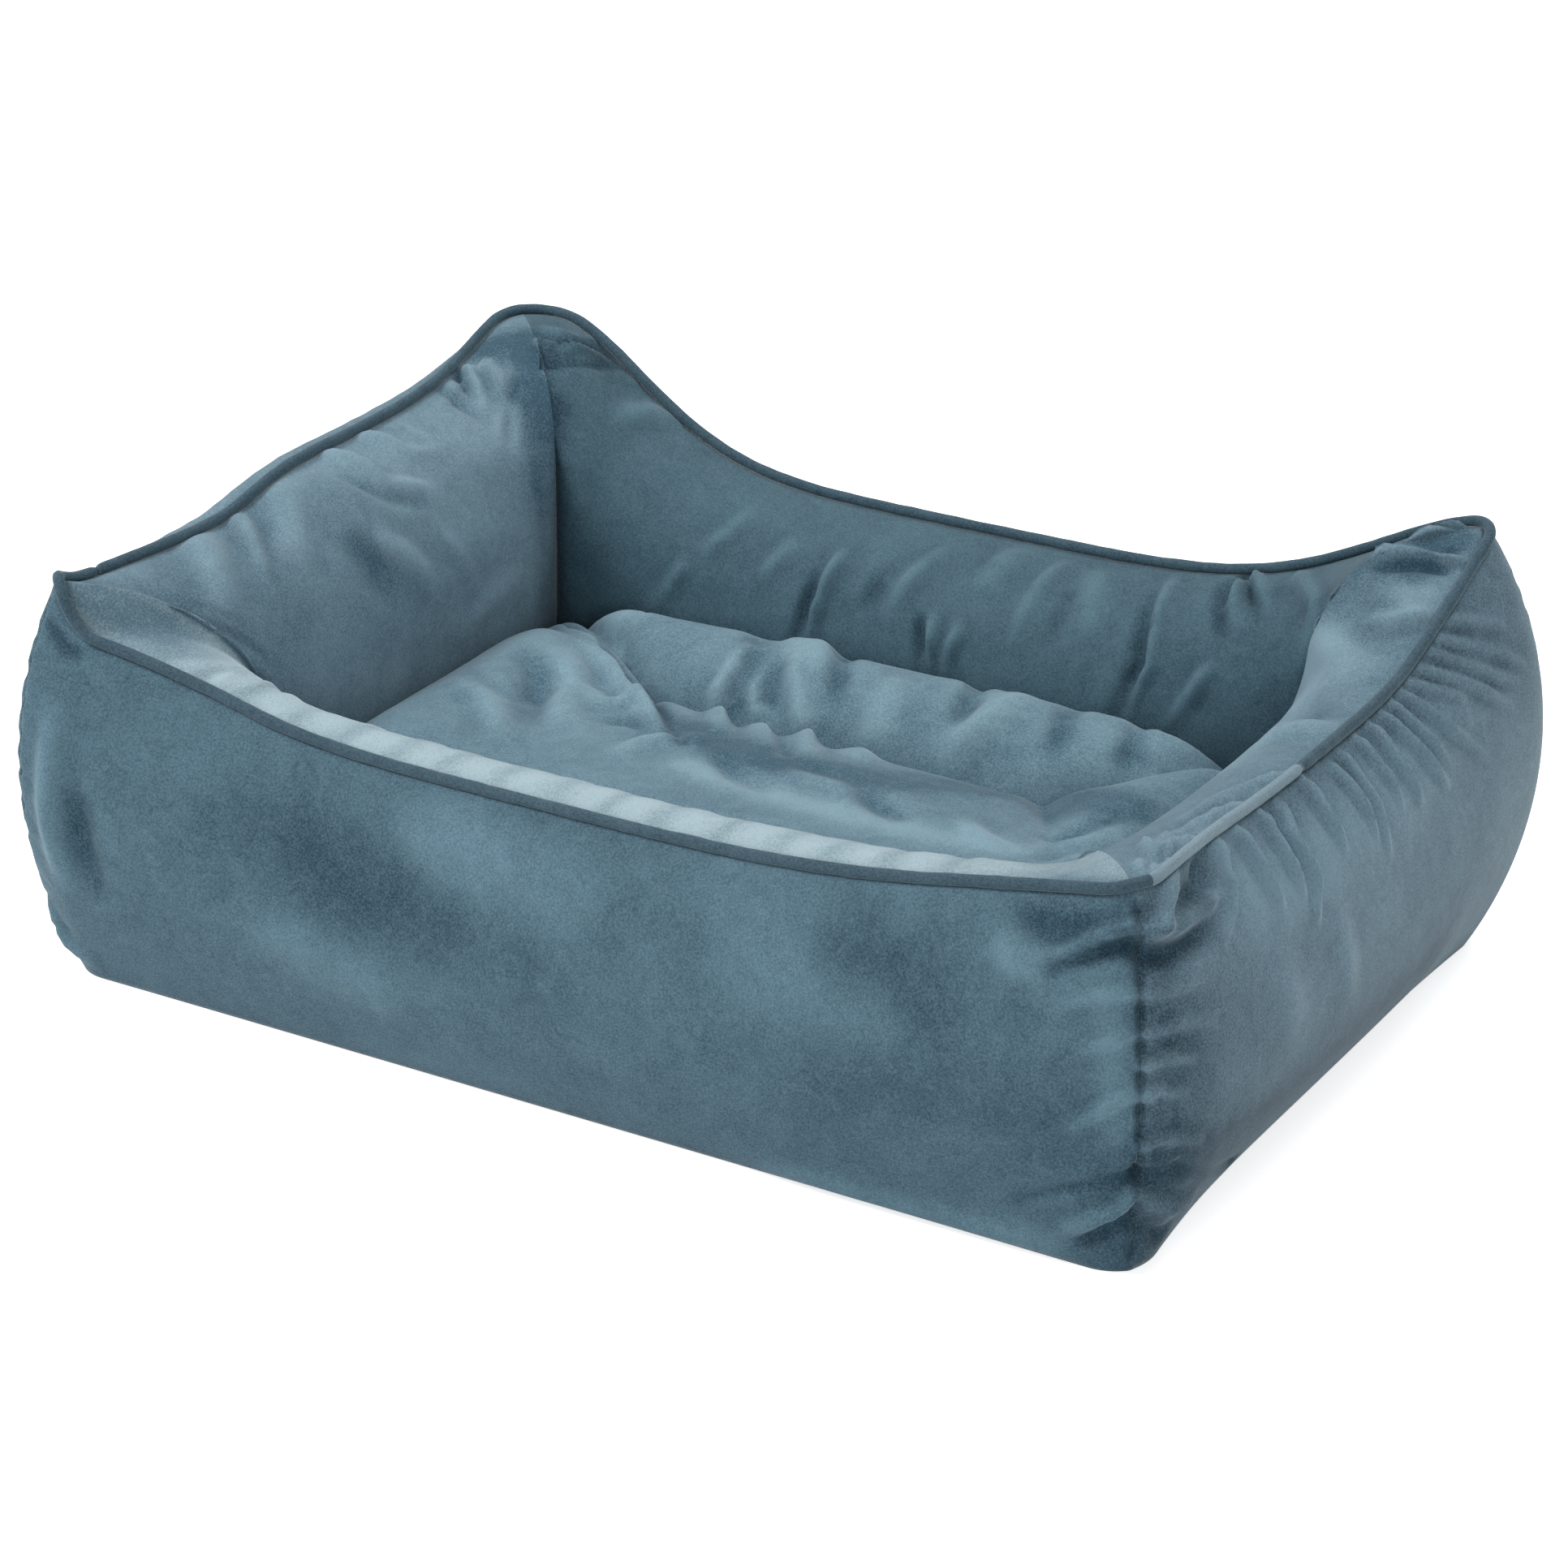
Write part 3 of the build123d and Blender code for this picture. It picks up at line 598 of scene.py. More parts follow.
class Velvets(Enum):
    """The velvet of each kind of panel: one cloth in lit and shaded copies, whose tones hold painted light
    and shade for the way each panel faces as well as its pile's lay.
    """

    OUTSIDE = PolyesterVelvet("polyester_velvet_outside", "2d4756", "7596a6", 0.45)
    SIDE = PolyesterVelvet("polyester_velvet_side", "2d4554", "829fae", 0.5)
    # Painted light: the band behind the front rim faces up, and its tones are a lit copy of the velvet.
    BAND_LIT = PolyesterVelvet("polyester_velvet_band_lit", "5d7a88", "b2c8d1", 0.9)
    INSIDE = PolyesterVelvet("polyester_velvet_inside", "3a5768", "88a4b2", 0.5)
    # Painted shade, with the pile's lay: the rear inside panel faces the camera square on, and its tones are
    # a darker copy.
    REAR = PolyesterVelvet("polyester_velvet_rear", "263e4c", "63828f", 0.4)
    CUSHION = PolyesterVelvet("polyester_velvet_cushion", "3c5b6c", "8dabb9", 0.5)
    PIPING = PolyesterVelvet("polyester_velvet_piping", "243b4a", "5f7985", 0.6, patch=60 * MM)
    PIPING_TURNED = PolyesterVelvet("polyester_velvet_piping_turned", "6a8592", "9ab0ba", 0.7)


class Stocks(Enum):
    """The plain stocks of the hidden and small pieces."""

    NON_SLIP = PlainStock("coated_non_slip_cloth", "202428", "2c3136", 0.9 * MM, 0.75)
    RUBBER = PlainStock("moulded_rubber", "15181b", "1d2124", 1.5 * MM, 0.6)
    FIBRE = PlainStock("polyester_staple_fibre", "d9dcdc", "f2f3f2", 6 * MM, 0.95, relief=2 * MM)
    CORD = PlainStock("twisted_cotton_cord", "c9c3b4", "e4dfd2", 1.2 * MM, 0.9)
    TAPE = PlainStock("woven_polyester_tape", "33485a", "455d6e", 0.7 * MM, 0.85)
    COIL = PlainStock("nylon_coil", "2f4352", "3f5666", 1.5 * MM, 0.4)
    THREAD = PlainStock("polyester_thread", "5b7584", "728b99", 0.5 * MM, 0.7)
    METAL = PlainStock("nickel_plated_zinc", "9a9ea2", "c4c7c9", 4 * MM, 0.28, metallic=1.0)


@cache
def finish_of(choice: Velvets | Stocks) -> bpy.types.Material:
    """Give the material of a finish, made the first time it is asked for."""
    return choice.value.make()


def dress(piece: bpy.types.Object, choice: Velvets | Stocks, slot: str, body: str,
          nodes: tuple = ()) -> None:
    """Give a finished piece its material and body, and hide the CAD nodes that it replaces.

    Args:
        piece: the finished mesh object.
        choice: its finish.
        slot: the record's material slot; not used.
        body: the body that it rides on.
        nodes: the CAD nodes that it replaces.
    """
    piece.data.materials.clear()
    piece.data.materials.append(finish_of(choice))
    if isinstance(choice, Velvets) and "pile_and_shading" not in piece.data.attributes:
        put_pile_and_shading(piece, np.full(len(piece.data.vertices), 0.5))
    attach(piece, body)
    if nodes:
        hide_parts(*nodes)
    LOG.info("%s: %d points on body %s", piece.name, len(piece.data.vertices), body)


# --- The walls -------------------------------------------------------------------------------


@dataclass(frozen=True)
class Corner:
    """A corner of the bed: its rim's height, set-back and turn, its belly, its tuck and its inner hollow."""

    height: float
    rim_inset: float
    rim_radius: float
    bulge: float
    tuck: float
    hollow: float = 0.0


@dataclass(frozen=True)
class Rise:
    """How a wall's rim climbs to a corner: where it flattens out, how late, and in what ear."""

    flat_share: float
    power: float
    ear: float = 0.0

    def climb(self, share: float) -> float:
        """Share of the way up the rim at a share of the way to the corner."""
        top = math.sin(math.pi / 2 * min(1.0, 1 / self.flat_share) ** self.power) ** 2
        return math.sin(math.pi / 2 * min(1.0, share / self.flat_share) ** self.power) ** 2 / top


@dataclass(frozen=True)
class Wall:
    """One side of the bed, running counter-clockwise from its start corner to its end corner."""

    name: str
    length: float
    edge_distance: float
    turn: float
    middle_height: float
    bulge: float
    tuck: float
    start: Corner
    end: Corner
    start_rise: Rise
    end_rise: Rise
    base_radius: float = 30 * MM
    thickness: float = 95 * MM
    floor_seam_tuck: float = 18 * MM
    shoulder_drop: float = 57 * MM
    shoulder_bow: float = 23 * MM
    rim_inset: float = 16 * MM
    corner_zone: float = 135 * MM
    lean_power: float = 1.5
    bulge_power: float = 3.0
    ear_power: float = 1.8
    ear_length: float = 42 * MM
    foot_height: float = 0.5 * MM
    foot_width: float = 3 * MM
    floor_height: float = 2.3 * MM
    seam_width: float = 2.3 * MM
    station_crowding: float = 0.35

    def corner_distance(self, out: float) -> float:
        """Distance of a station's outer end from the nearer corner."""
        return min(out, self.length - out)

    def lean(self, out: float) -> float:
        """Slope of a station across the wall: 1 in the mitre, 0 past the corner zone."""
        distance = self.corner_distance(out)
        if distance >= self.corner_zone:
            return 0.0
        share = (distance / self.corner_zone) ** self.lean_power
        inner = self.thickness + (self.corner_zone - self.thickness) * share
        slope = (inner - distance) / self.thickness
        return slope if out < self.length / 2 else -slope

    @staticmethod
    def rounded_inset(distance: float, slope: float, radius: float) -> float:
        """How far a station's line runs in before it meets a corner rounded by radius."""
        if distance >= radius:
            return 0.0
        a = 1 + slope**2
        b = 2 * (slope * (distance - radius) - radius)
        c = (distance - radius) ** 2
        return (-b - math.sqrt(max(b**2 - 4 * a * c, 0.0))) / (2 * a)

    def nearer_end(self, out: float) -> tuple[Corner, Rise]:
        """The corner and the rise that a station belongs to."""
        return (self.start, self.start_rise) if out < self.length / 2 else (self.end, self.end_rise)

    def fullness(self, out: float) -> float:
        """How much of the wall's belly and tuck a station has: none in the corners, all midway."""
        half = self.length / 2
        return 1 - (abs(out - half) / half) ** self.bulge_power

    def rim_place(self, out: float) -> tuple[float, float, float]:
        """Inset and height of the rim seam at a station, and how much of the corner's ear it has."""
        slope = abs(self.lean(out))
        corner, rise = self.nearer_end(out)
        near = self.corner_distance(out)
        corner_share = 1 - float(smooth_share(near, 0.0, self.corner_zone))
        set_back = self.rim_inset + (corner.rim_inset - self.rim_inset) * corner_share
        inset = set_back + self.rounded_inset(near + slope * set_back - set_back, slope, corner.rim_radius)
        half = self.length / 2 - corner.rim_inset
        from_corner = max(0.0, near + slope * inset - inset)
        top = corner.height - rise.ear
        height = self.middle_height + (top - self.middle_height) * rise.climb(1 - from_corner / half)
        ear = float(smooth_share(max(0.0, 1 - from_corner / self.ear_length) ** self.ear_power, 0.0, 1.0))
        return inset, height + rise.ear * ear, ear

    def foot_inset(self, out: float) -> float:
        """How far the floor edge of the outside panel lies inside the base's straight edge."""
        corner, _ = self.nearer_end(out)
        tuck = corner.tuck + (self.tuck - corner.tuck) * self.fullness(out)
        return tuck + self.rounded_inset(self.corner_distance(out), abs(self.lean(out)), self.base_radius)

    @staticmethod
    def arc(start: tuple, end: tuple, bow: float, shares: np.ndarray) -> np.ndarray:
        """Points of an arc from start to end that bows out by bow to the left of its direction."""
        start, end = np.array(start), np.array(end)
        chord = np.linalg.norm(end - start)
        radius = (chord**2 / 4 + bow**2) / (2 * bow)
        along = (end - start) / chord
        left = np.array([-along[1], along[0]])
        centre = (start + end) / 2 + left * (bow - radius)
        first = math.atan2(*(start - centre)[::-1])
        last = math.atan2(*(end - centre)[::-1])
        if last > first:
            last -= 2 * math.pi
        angles = first + (last - first) * shares
        return centre + radius * np.stack([np.cos(angles), np.sin(angles)], axis=1)

    def section(self, out: float, counts: tuple) -> np.ndarray:
        """Closed outline of the wall at a station, as inset and height.

        Args:
            out: distance of the station from the start corner.
            counts: steps on the outside, the shoulder, the inside face and the underside.

        Returns:
            Points from the foot over the rim to the floor seam and back under the wall.
        """
        outside, shoulder, face, under = counts
        rim, height, ear = self.rim_place(out)
        foot = self.foot_inset(out)
        corner, _ = self.nearer_end(out)
        bulge = corner.bulge + (self.bulge - corner.bulge) * self.fullness(out)
        face_top = (self.thickness, height - self.shoulder_drop - corner.hollow * ear)
        face_foot = (self.thickness - self.floor_seam_tuck, self.floor_height)
        parts = [
            self.arc((foot, self.foot_height), (rim, height), bulge, np.linspace(0, 1, outside + 1)),
            self.arc((rim + self.seam_width, height), face_top, self.shoulder_bow,
                     np.linspace(0, 1, shoulder + 1))[:-1],
            self.arc(face_top, face_foot, self.floor_seam_tuck / 4, np.linspace(0, 1, face + 1)),
        ]
        back = np.linspace(face_foot[0], foot + self.foot_width, under)[1:]
        parts.append(np.stack([back, np.full(under - 1, self.floor_height)], axis=1))
        return np.concatenate(parts)

    def placed(self, out: float, outline: np.ndarray) -> np.ndarray:
        """Put the points of a station's section, given as inset and height, in the bed's frame."""
        along = out - self.length / 2 + self.lean(out) * outline[:, 0]
        across = outline[:, 0] - self.edge_distance
        c, s = round(math.cos(self.turn)), round(math.sin(self.turn))
        return np.stack([along * c - across * s, along * s + across * c, outline[:, 1]], axis=1)

    def stations(self, step: float) -> np.ndarray:
        """Distances of the stations along the wall, closer together by its corners."""
        count = int(self.length / step)
        even = np.linspace(0, 1, count + 1)
        return self.length * (even - self.station_crowding * np.sin(2 * math.pi * even) / (2 * math.pi))

    def line(self, out: float, counts: tuple) -> np.ndarray:
        """Points of a station's outline in the bed's frame, in millimetres."""
        return self.placed(out, self.section(out, counts)) / MM


FRONT_LEFT = Corner(257 * MM, 4 * MM, 14 * MM, 22 * MM, 0.5 * MM, 40 * MM)
FRONT_RIGHT = Corner(226 * MM, 11 * MM, 22 * MM, 9 * MM, 0.5 * MM)
BACK_RIGHT = Corner(274 * MM, 12 * MM, 26 * MM, 29 * MM, 9 * MM)
BACK_LEFT = Corner(290 * MM, 7 * MM, 34 * MM, 28 * MM, 9 * MM)
WIDTH, DEPTH = 745 * MM, 513 * MM
WALLS = (
    Wall("front", WIDTH, DEPTH / 2, 0, 184 * MM, 27 * MM, 1 * MM, FRONT_LEFT, FRONT_RIGHT,
         Rise(0.95, 2.6, 34 * MM), Rise(1.2, 1.6)),
    Wall("right", DEPTH, WIDTH / 2, math.pi / 2, 216 * MM, 42 * MM, 15 * MM, FRONT_RIGHT, BACK_RIGHT,
         Rise(0.95, 1.5), Rise(1.0, 1.95)),
    Wall("back", WIDTH, DEPTH / 2, math.pi, 202 * MM, 32 * MM, 8 * MM, BACK_RIGHT, BACK_LEFT,
         Rise(1.0, 2.4), Rise(0.91, 2.5)),
    Wall("left", DEPTH, WIDTH / 2, 3 * math.pi / 2, 262 * MM, 42 * MM, 15 * MM, BACK_LEFT, FRONT_LEFT,
         Rise(1.0, 2.15), Rise(0.46, 1.5, 9 * MM)),
)

# Gathers, creases and lips of the outside panels
OUTSIDE_FOLDS = tuple(Fold(*row) for row in (
    ((358, 162, 242, 377, 211, 225), 3.6, 6.2, 0.5),
    ((359, 150, 233, 381, 200, 210, 387, 223, 196), 3.6, 6.9, 0.5),
    ((359, 139, 228, 382, 183, 202, 388, 213, 191), 3.6, 7, 0.5),
    ((359, 123, 223, 382, 167, 198, 390, 199, 179), 3.6, 7.8, 0.5),
    ((359, 109, 219, 379, 149, 199), 3.2, 6.2, 0.5),
    ((359, 96, 217, 379, 117, 191, 392, 157, 161), 3.6, 8, 0.5),
    ((359, 84, 215, 376, 92, 193, 387, 109, 171), 3.2, 6.6, 0.5),
    ((360, 69, 213, 378, 79, 188, 391, 102, 161), 3.6, 7.8, 0.5),
    ((360, 51, 213, 376, 52, 190, 389, 63, 165), 3.6, 8, 0.5),
    ((360, 32, 212, 374, 34, 193, 386, 38, 170), 3.2, 7, 0.5),
    ((361, 9, 210, 379, 8, 184, 393, 12, 151), 3.6, 8, 0.5),
    ((362, -7, 210, 376, -4, 191, 388, 1, 165), 3.2, 7, 0.5),
    ((360, -39, 212, 371, -43, 198, 385, -40, 174), 3.6, 8, 0.5),
    ((362, -74, 211, 371, -86, 199, 383, -81, 176, 393, -88, 148), 4.3, 8, 0.4),
    ((358, -96, 216, 375, -100, 192, 386, -94, 169), 3.6, 7.8, 0.5),
    ((358, -126, 218, 371, -128, 199, 385, -120, 169), 4.3, 8, 0.5),
    ((358, -150, 220, 368, -165, 206, 376, -173, 189, 378, -182, 182), 4.3, 8, 0.6, 0.3),
    ((359, -171, 222, 366, -181, 210, 368, -205, 208), 10, -8, 0.5, 0.4),
    ((360, -207, 225, 364, -221, 219, 366, -235, 206), 5, 8, 0.7, 0.7),
    ((362, -241, 203, 369, -223, 202, 371, -191, 201, 369, -169, 203), 5.8, 8, 0.5, 0.3),
    ((362, -245, 190, 372, -232, 189, 376, -191, 188), 6.5, -7.8, 0.7, 0.2),
    ((393, -65, 152, 398, -47, 89), 12, 2.2, 0.2, 0.1),
    ((389, -143, 154, 397, -112, 102), 16, 2.2),
    ((367, -250, 147, 380, -235, 151, 387, -200, 140), 3.6, 3.6, 0.8),
    ((368, -251, 129, 379, -242, 134, 386, -221, 127), 3.6, 4.3, 0.8),
    ((369, -252, 111, 377, -246, 116, 385, -227, 108), 3.6, 4.3, 0.8),
    ((369, -252, 82, 378, -246, 87, 386, -210, 73), 4.3, 5.1, 0.8),
    ((368, -252, 64, 381, -231, 63, 374, -144, 23), 4.3, -5.9, 0.8, 0.3),
    ((369, -251, 52, 377, -228, 36, 375, -195, 27), 5.8, 5.8, 0.6),
    ((368, -249, 34, 372, -233, 19, 372, -218, 17), 5, -5.2, 0.6),
    ((364, -248, 170, 375, -237, 170, 381, -209, 167), 3.6, 3.2, 0.8),
    ((316, -254, 183, 333, -251, 195, 349, -249, 204, 356, -245, 207), 5, 8, 0.1, 0.8),
    ((312, -256, 174, 330, -254, 186, 348, -251, 196, 356, -247, 199), 5.8, -7.2, 0.1, 0.8),
    ((293, -247, 201, 314, -251, 194, 335, -250, 200), 6.5, -5.2, 0.2, 0.1),
    ((277, -251, 185, 296, -255, 176, 317, -256, 175), 10, 5.8),
    ((330, -266, 87, 348, -264, 101, 365, -256, 114), 4.3, 4.1, 0.1, 0.8),
    ((295, -263, 34, 333, -264, 53, 366, -255, 65), 4.3, -3.9, 0.1, 0.8),
    ((320, -260, 156, 342, -257, 167, 359, -252, 172), 4.3, 4.3, 0.1, 0.8),
    ((332, -263, 132, 349, -260, 142, 362, -255, 147), 3.6, 3.6, 0.1, 0.8),
    ((330, -260, 23, 349, -261, 36, 360, -258, 42, 366, -254, 53), 5, 5.8, 0.2, 0.7),
    ((338, -259, 17, 357, -258, 31, 366, -252, 37), 4.3, -5.2, 0.3, 0.7),
    ((-364, -257, 232, -350, -256, 219, -337, -254, 215), 4.3, -4.5, 0.5),
    ((-354, -267, 180, -356, -276, 124, -350, -275, 75), 10, 7.2, 0.2, 0.1),
    ((-337, -273, 143, -331, -276, 103, -321, -274, 66), 12, -5.2),
    ((-372, -263, 45, -364, -258, 21, -335, -261, 13), 5.8, 4.3, 0.3),
    ((-119, -255, 161, -36, -260, 152, 44, -266, 138), 26, 4.3),
    ((-248, -265, 150, -145, -270, 124, -41, -272, 114), 30, -3.9),
    ((98, -265, 141, 174, -269, 127, 236, -270, 109), 24, 3.6),
    ((165, -253, 168, 230, -259, 157, 274, -266, 127), 28, -3.2),
    ((-214, -275, 82, -144, -275, 68, -88, -273, 50), 18, 3.2),
))

# Folds of the inside panels
INSIDE_FOLDS = tuple(Fold(*row) for row in (
    ((-353, 6, 262, -305, 13, 254, -285, 52, 233), 6.5, 8, 0.3),
    ((-329, -14, 263, -297, 1, 247, -284, 35, 230), 5.8, -4.9),
    ((-352, 45, 262, -317, 53, 260, -303, 87, 254), 6.5, 7.3, 0.3),
    ((-346, 133, 269, -319, 123, 265, -307, 126, 260), 5.8, -6, 0.2, 0.2),
    ((-348, 162, 275, -322, 142, 270, -309, 128, 262), 5, 6.7, 0.4),
    ((-354, 158, 273, -333, 142, 271, -320, 133, 267), 5, -5.5, 0.4),
    ((-337, 170, 279, -315, 158, 272, -313, 174, 278), 5.8, 7.3, 0.4, 0.4),
    ((-353, -88, 250, -317, -109, 246, -296, -128, 232), 6.5, 6, 0.3),
    ((-286, -28, 232, -278, -10, 209, -278, 13, 177), 10, 5.5),
    ((-294, -48, 240, -279, -40, 213, -278, -30, 182), 12, -4.3),
    ((-350, -42, 260, -316, -75, 250, -292, -94, 229), 12, 4.9, 0.2),
    ((-279, 42, 145, -279, 70, 156, -278, 110, 163), 10, 4.9, 0.3),
    ((-337, 76, 265, -313, 79, 259, -305, 104, 256), 5, 4.9),
    ((-279, 28, 218, -278, 47, 189, -279, 61, 156), 6.5, 4.9),
    ((-354, -127, 248, -315, -154, 244, -290, -169, 224), 12, 5.1, 0.4),
    ((-81, 162, 129, -77, 165, 164, -72, 190, 195, -71, 209, 203), 5, 8, 0.6),
    ((-89, 162, 127, -85, 162, 150, -84, 174, 181), 5.8, -6, 0.7),
    ((5, 162, 129, 3, 162, 149, -6, 168, 170), 5, -6, 0.7),
    ((12, 162, 131, 9, 162, 153, 4, 168, 170), 4.3, 7.2, 0.7),
    ((22, 162, 131, 24, 162, 151, 26, 167, 169), 5, 6.5, 0.7),
    ((-23, 165, 164, -14, 193, 196, -1, 216, 204), 6.5, 5.8, 0.2),
    ((67, 165, 164, 67, 186, 192, 75, 225, 204), 6.5, 5.8, 0.2),
    ((90, 167, 169, 91, 182, 189, 92, 201, 200), 5.8, -4.5, 0.2),
    ((143, 162, 127, 156, 165, 167, 148, 181, 190, 149, 209, 205), 6.5, -6, 0.7),
    ((152, 162, 128, 162, 165, 168, 156, 181, 191, 150, 226, 207), 5, 8, 0.7),
    ((179, 162, 133, 196, 162, 157, 206, 167, 180), 5.8, 7.2, 0.6),
    ((203, 177, 195, 193, 194, 206, 189, 221, 212), 5.8, -6, 0.2, 0.4),
    ((214, 178, 200, 202, 193, 208, 196, 225, 214), 5, 7.2, 0.2, 0.6),
    ((201, 233, 214, 224, 197, 216, 235, 180, 208), 4.3, 5.8, 0.7),
    ((194, 234, 212, 217, 195, 213, 227, 179, 204), 4.3, -5.2, 0.7),
    ((-203, 162, 132, -188, 162, 149, -175, 164, 171), 5.8, 5.8, 0.5),
    ((-252, 191, 249, -239, 222, 245, -222, 236, 233), 10, 5.1),
    ((-169, 165, 172, -153, 181, 193, -146, 201, 205), 6.5, 5.1),
    ((-312, 180, 280, -296, 190, 280, -282, 205, 280, -272, 225, 270), 4.3, -6, 0.6, 0.2),
    ((-314, 200, 287, -300, 204, 287, -285, 220, 281), 5, 6.7, 0.6),
    ((-324, 218, 292, -303, 217, 290, -286, 226, 280), 5, 4.9, 0.5),
    ((-122, 165, 165, -116, 173, 180, -105, 188, 194), 6.5, 5.8),
    ((-44, 164, 159, -38, 177, 183, -32, 193, 196), 6.5, -4.5),
    ((30, 179, 185, 35, 196, 198, 40, 228, 204), 10, 5.1),
    ((298, 188, 263, 323, 191, 268, 346, 198, 266), 5, 7.2, 0.2, 0.5),
    ((308, 178, 260, 328, 185, 264, 345, 190, 262), 4.3, -6, 0.2, 0.5),
    ((313, 201, 272, 326, 210, 275, 335, 232, 273), 3.6, 5.8, 0.2, 0.5),
    ((328, 198, 271, 336, 196, 268, 344, 203, 269), 4.3, -5.2, 0.2, 0.4),
    ((236, 222, 226, 267, 175, 230, 276, 162, 216), 5.8, 5.8, 0.6),
    ((101, 210, 203, 112, 183, 190, 116, 167, 169), 10, 5.1, 0.4),
    ((328, -128, 221, 324, -86, 218, 339, -62, 219, 354, -39, 216), 4.3, 5.8, 0.2, 0.4),
    ((333, -184, 227, 337, -134, 223, 349, -97, 219), 4.3, 5.8, 0.3, 0.4),
    ((278, -109, 165, 338, -190, 227, 350, -161, 224), 4.3, 5.8, 0.3, 0.4),
    ((278, -95, 152, 346, -216, 228, 357, -194, 225), 3.6, 5.1, 0.3, 0.5),
    ((334, -158, 224, 332, -113, 220, 345, -79, 219), 4.3, -4.5, 0.3, 0.3),
    ((310, 150, 237, 330, 149, 240, 354, 160, 242), 6.5, 5.8, 0.1, 0.4),
    ((291, 99, 200, 330, 36, 217), 12, -4.5),
    ((300, 26, 204, 320, 29, 215, 347, 26, 217), 12, 5.8, 0.1, 0.3),
    ((307, 168, 251, 337, 162, 247, 356, 178, 250), 12, 5.1),
    ((279, 155, 212, 319, 110, 222, 342, 104, 224), 14, 5.8, 0.2),
    ((347, -228, 227, 349, -198, 227, 355, -155, 222), 3.6, -3.9, 0.2, 0.4),
    ((-339, 174, 280, -344, 142, 271, -333, 109, 266), 4, 4.2, 0.6),
    ((-323, 175, 280, -315, 138, 267, -299, 104, 252), 4, 5.6, 0.6),
    ((-314, 175, 278, -301, 146, 261, -286, 121, 238), 4, -5.6, 0.6),
    ((-294, 194, 282, -277, 217, 276, -258, 237, 257), 4, 4, 0.6),
    ((-302, 206, 288, -289, 236, 279, -271, 239, 266), 4, -6, 0.6),
))

# Soft creases across the band behind the front rim
BAND_CREASES = tuple(
    Fold(path, (5.8, 4.7, 4.7)[place % 3], (1.9, 1.5)[place % 2], 0.5, 0.1)
    for place, path in enumerate((
        (-281, -242, 210, -267, -221, 210), (-261, -237, 205, -261, -194, 202),
        (-243, -228, 201, -245, -190, 194), (-224, -218, 197, -229, -187, 187),
        (-194, -216, 191, -159, -203, 185), (-170, -215, 188, -153, -194, 180),
        (-128, -208, 185, -110, -205, 183), (-101, -214, 185, -81, -199, 181),
        (-57, -212, 185, -34, -206, 183), (-26, -215, 185, -10, -205, 183),
        (0, -212, 185, 18, -202, 182), (28, -218, 186, 38, -205, 183),
        (56, -221, 186, 74, -203, 183), (80, -221, 187, 100, -207, 185),
        (101, -213, 186, 123, -207, 186), (123, -205, 186, 143, -205, 187),
        (152, -206, 188, 177, -210, 192), (182, -211, 193, 203, -199, 192),
        (209, -215, 197, 230, -206, 199), (243, -226, 204, 250, -202, 202),
    ))
)

# Spare cloth of each wall, as shares: all over the outside, by its rim, and on the inside
SPARE_CLOTH = (
    ("front", 0.012, 0.015, 0.045), ("right", 0.02, 0.09, 0.045),
    ("back", 0.02, 0.05, 0.045), ("left", 0.02, 0.06, 0.045),
)


def band_shading_streaks() -> tuple:
    """Painted light and shade: alternating light and dark streaks slanting across the band behind the front
    rim, as on the sides of small puckers.
    """
    chance = np.random.default_rng(31)
    front = wall_named("front")
    counts, slant = (2, 13, 2, 2), 16 * MM
    streaks = []
    out = 75 * MM
    while out < front.length - 120 * MM:
        path = (*front.line(out, counts)[4], *front.line(out + slant, counts)[11])
        tone = (0.16 + 0.2 * chance.random()) * (-1) ** len(streaks)
        streaks.append(ShadingAndPileStreak(path, 4.5 + 3 * chance.random(), tone))
        out += (13 + 9 * chance.random()) * MM
    return tuple(streaks)


def seam_folds() -> tuple:
    """Grooves where the outside panels meet at the corners, with short puckers across them."""
    chance = np.random.default_rng(5)
    steps, counts = 24, (24, 2, 2, 2)
    folds = []
    for place, wall in enumerate(WALLS):
        before = WALLS[place - 1]
        seam = wall.line(0.0, counts)[1:steps]
        beside = wall.line(30 * MM, counts)[1:steps]
        other = before.line(before.length - 14 * MM, counts)[1:steps]
        folds.append(Fold(tuple(seam[::2].ravel()), 2.6, -2.4, 1.0, 1.0))
        for row in range(2, steps - 3, 2):
            rise = int(chance.integers(0, 3)) - 1
            folds.append(Fold((*beside[row + rise], *seam[row]), 2.6, -0.9 - chance.random(), 0, 0.7))
            folds.append(Fold((*other[row - rise], *seam[row]), 3, -0.7 - chance.random(), 0, 0.7))
    return tuple(folds)


def unseen_folds() -> tuple:
    """Gathers under the piping and soft dents on the left and back walls, each time the same ones."""
    chance = np.random.default_rng(23)
    counts, top_row, dents = (30, 2, 2, 2), 28, 9
    folds = []
    for wall in (wall_named("left"), wall_named("back")):
        out = 40 * MM
        while out < wall.length - 45 * MM:
            drift = chance.normal(0, 9) * MM
            low = int(chance.integers(15, 23))
            path = (*wall.line(out, counts)[top_row], *wall.line(out + drift, counts)[low])
            folds.append(Fold(path, 5 + 2 * chance.random(), 2.2 + 2 * chance.random(), 0.5))
            out += (17 + 12 * chance.random()) * MM
        for _ in range(dents):
            out = wall.length * (0.12 + 0.76 * chance.random())
            level = int(chance.integers(6, 20))
            path = np.concatenate([wall.line(out + step * MM, counts)[level + side]
                                   for step, side in ((-28, 1), (0, 0), (30, -1))])
            folds.append(Fold(tuple(path), 14 + 9 * chance.random(), chance.choice((-1.7, 1.7))))
    return tuple(folds)


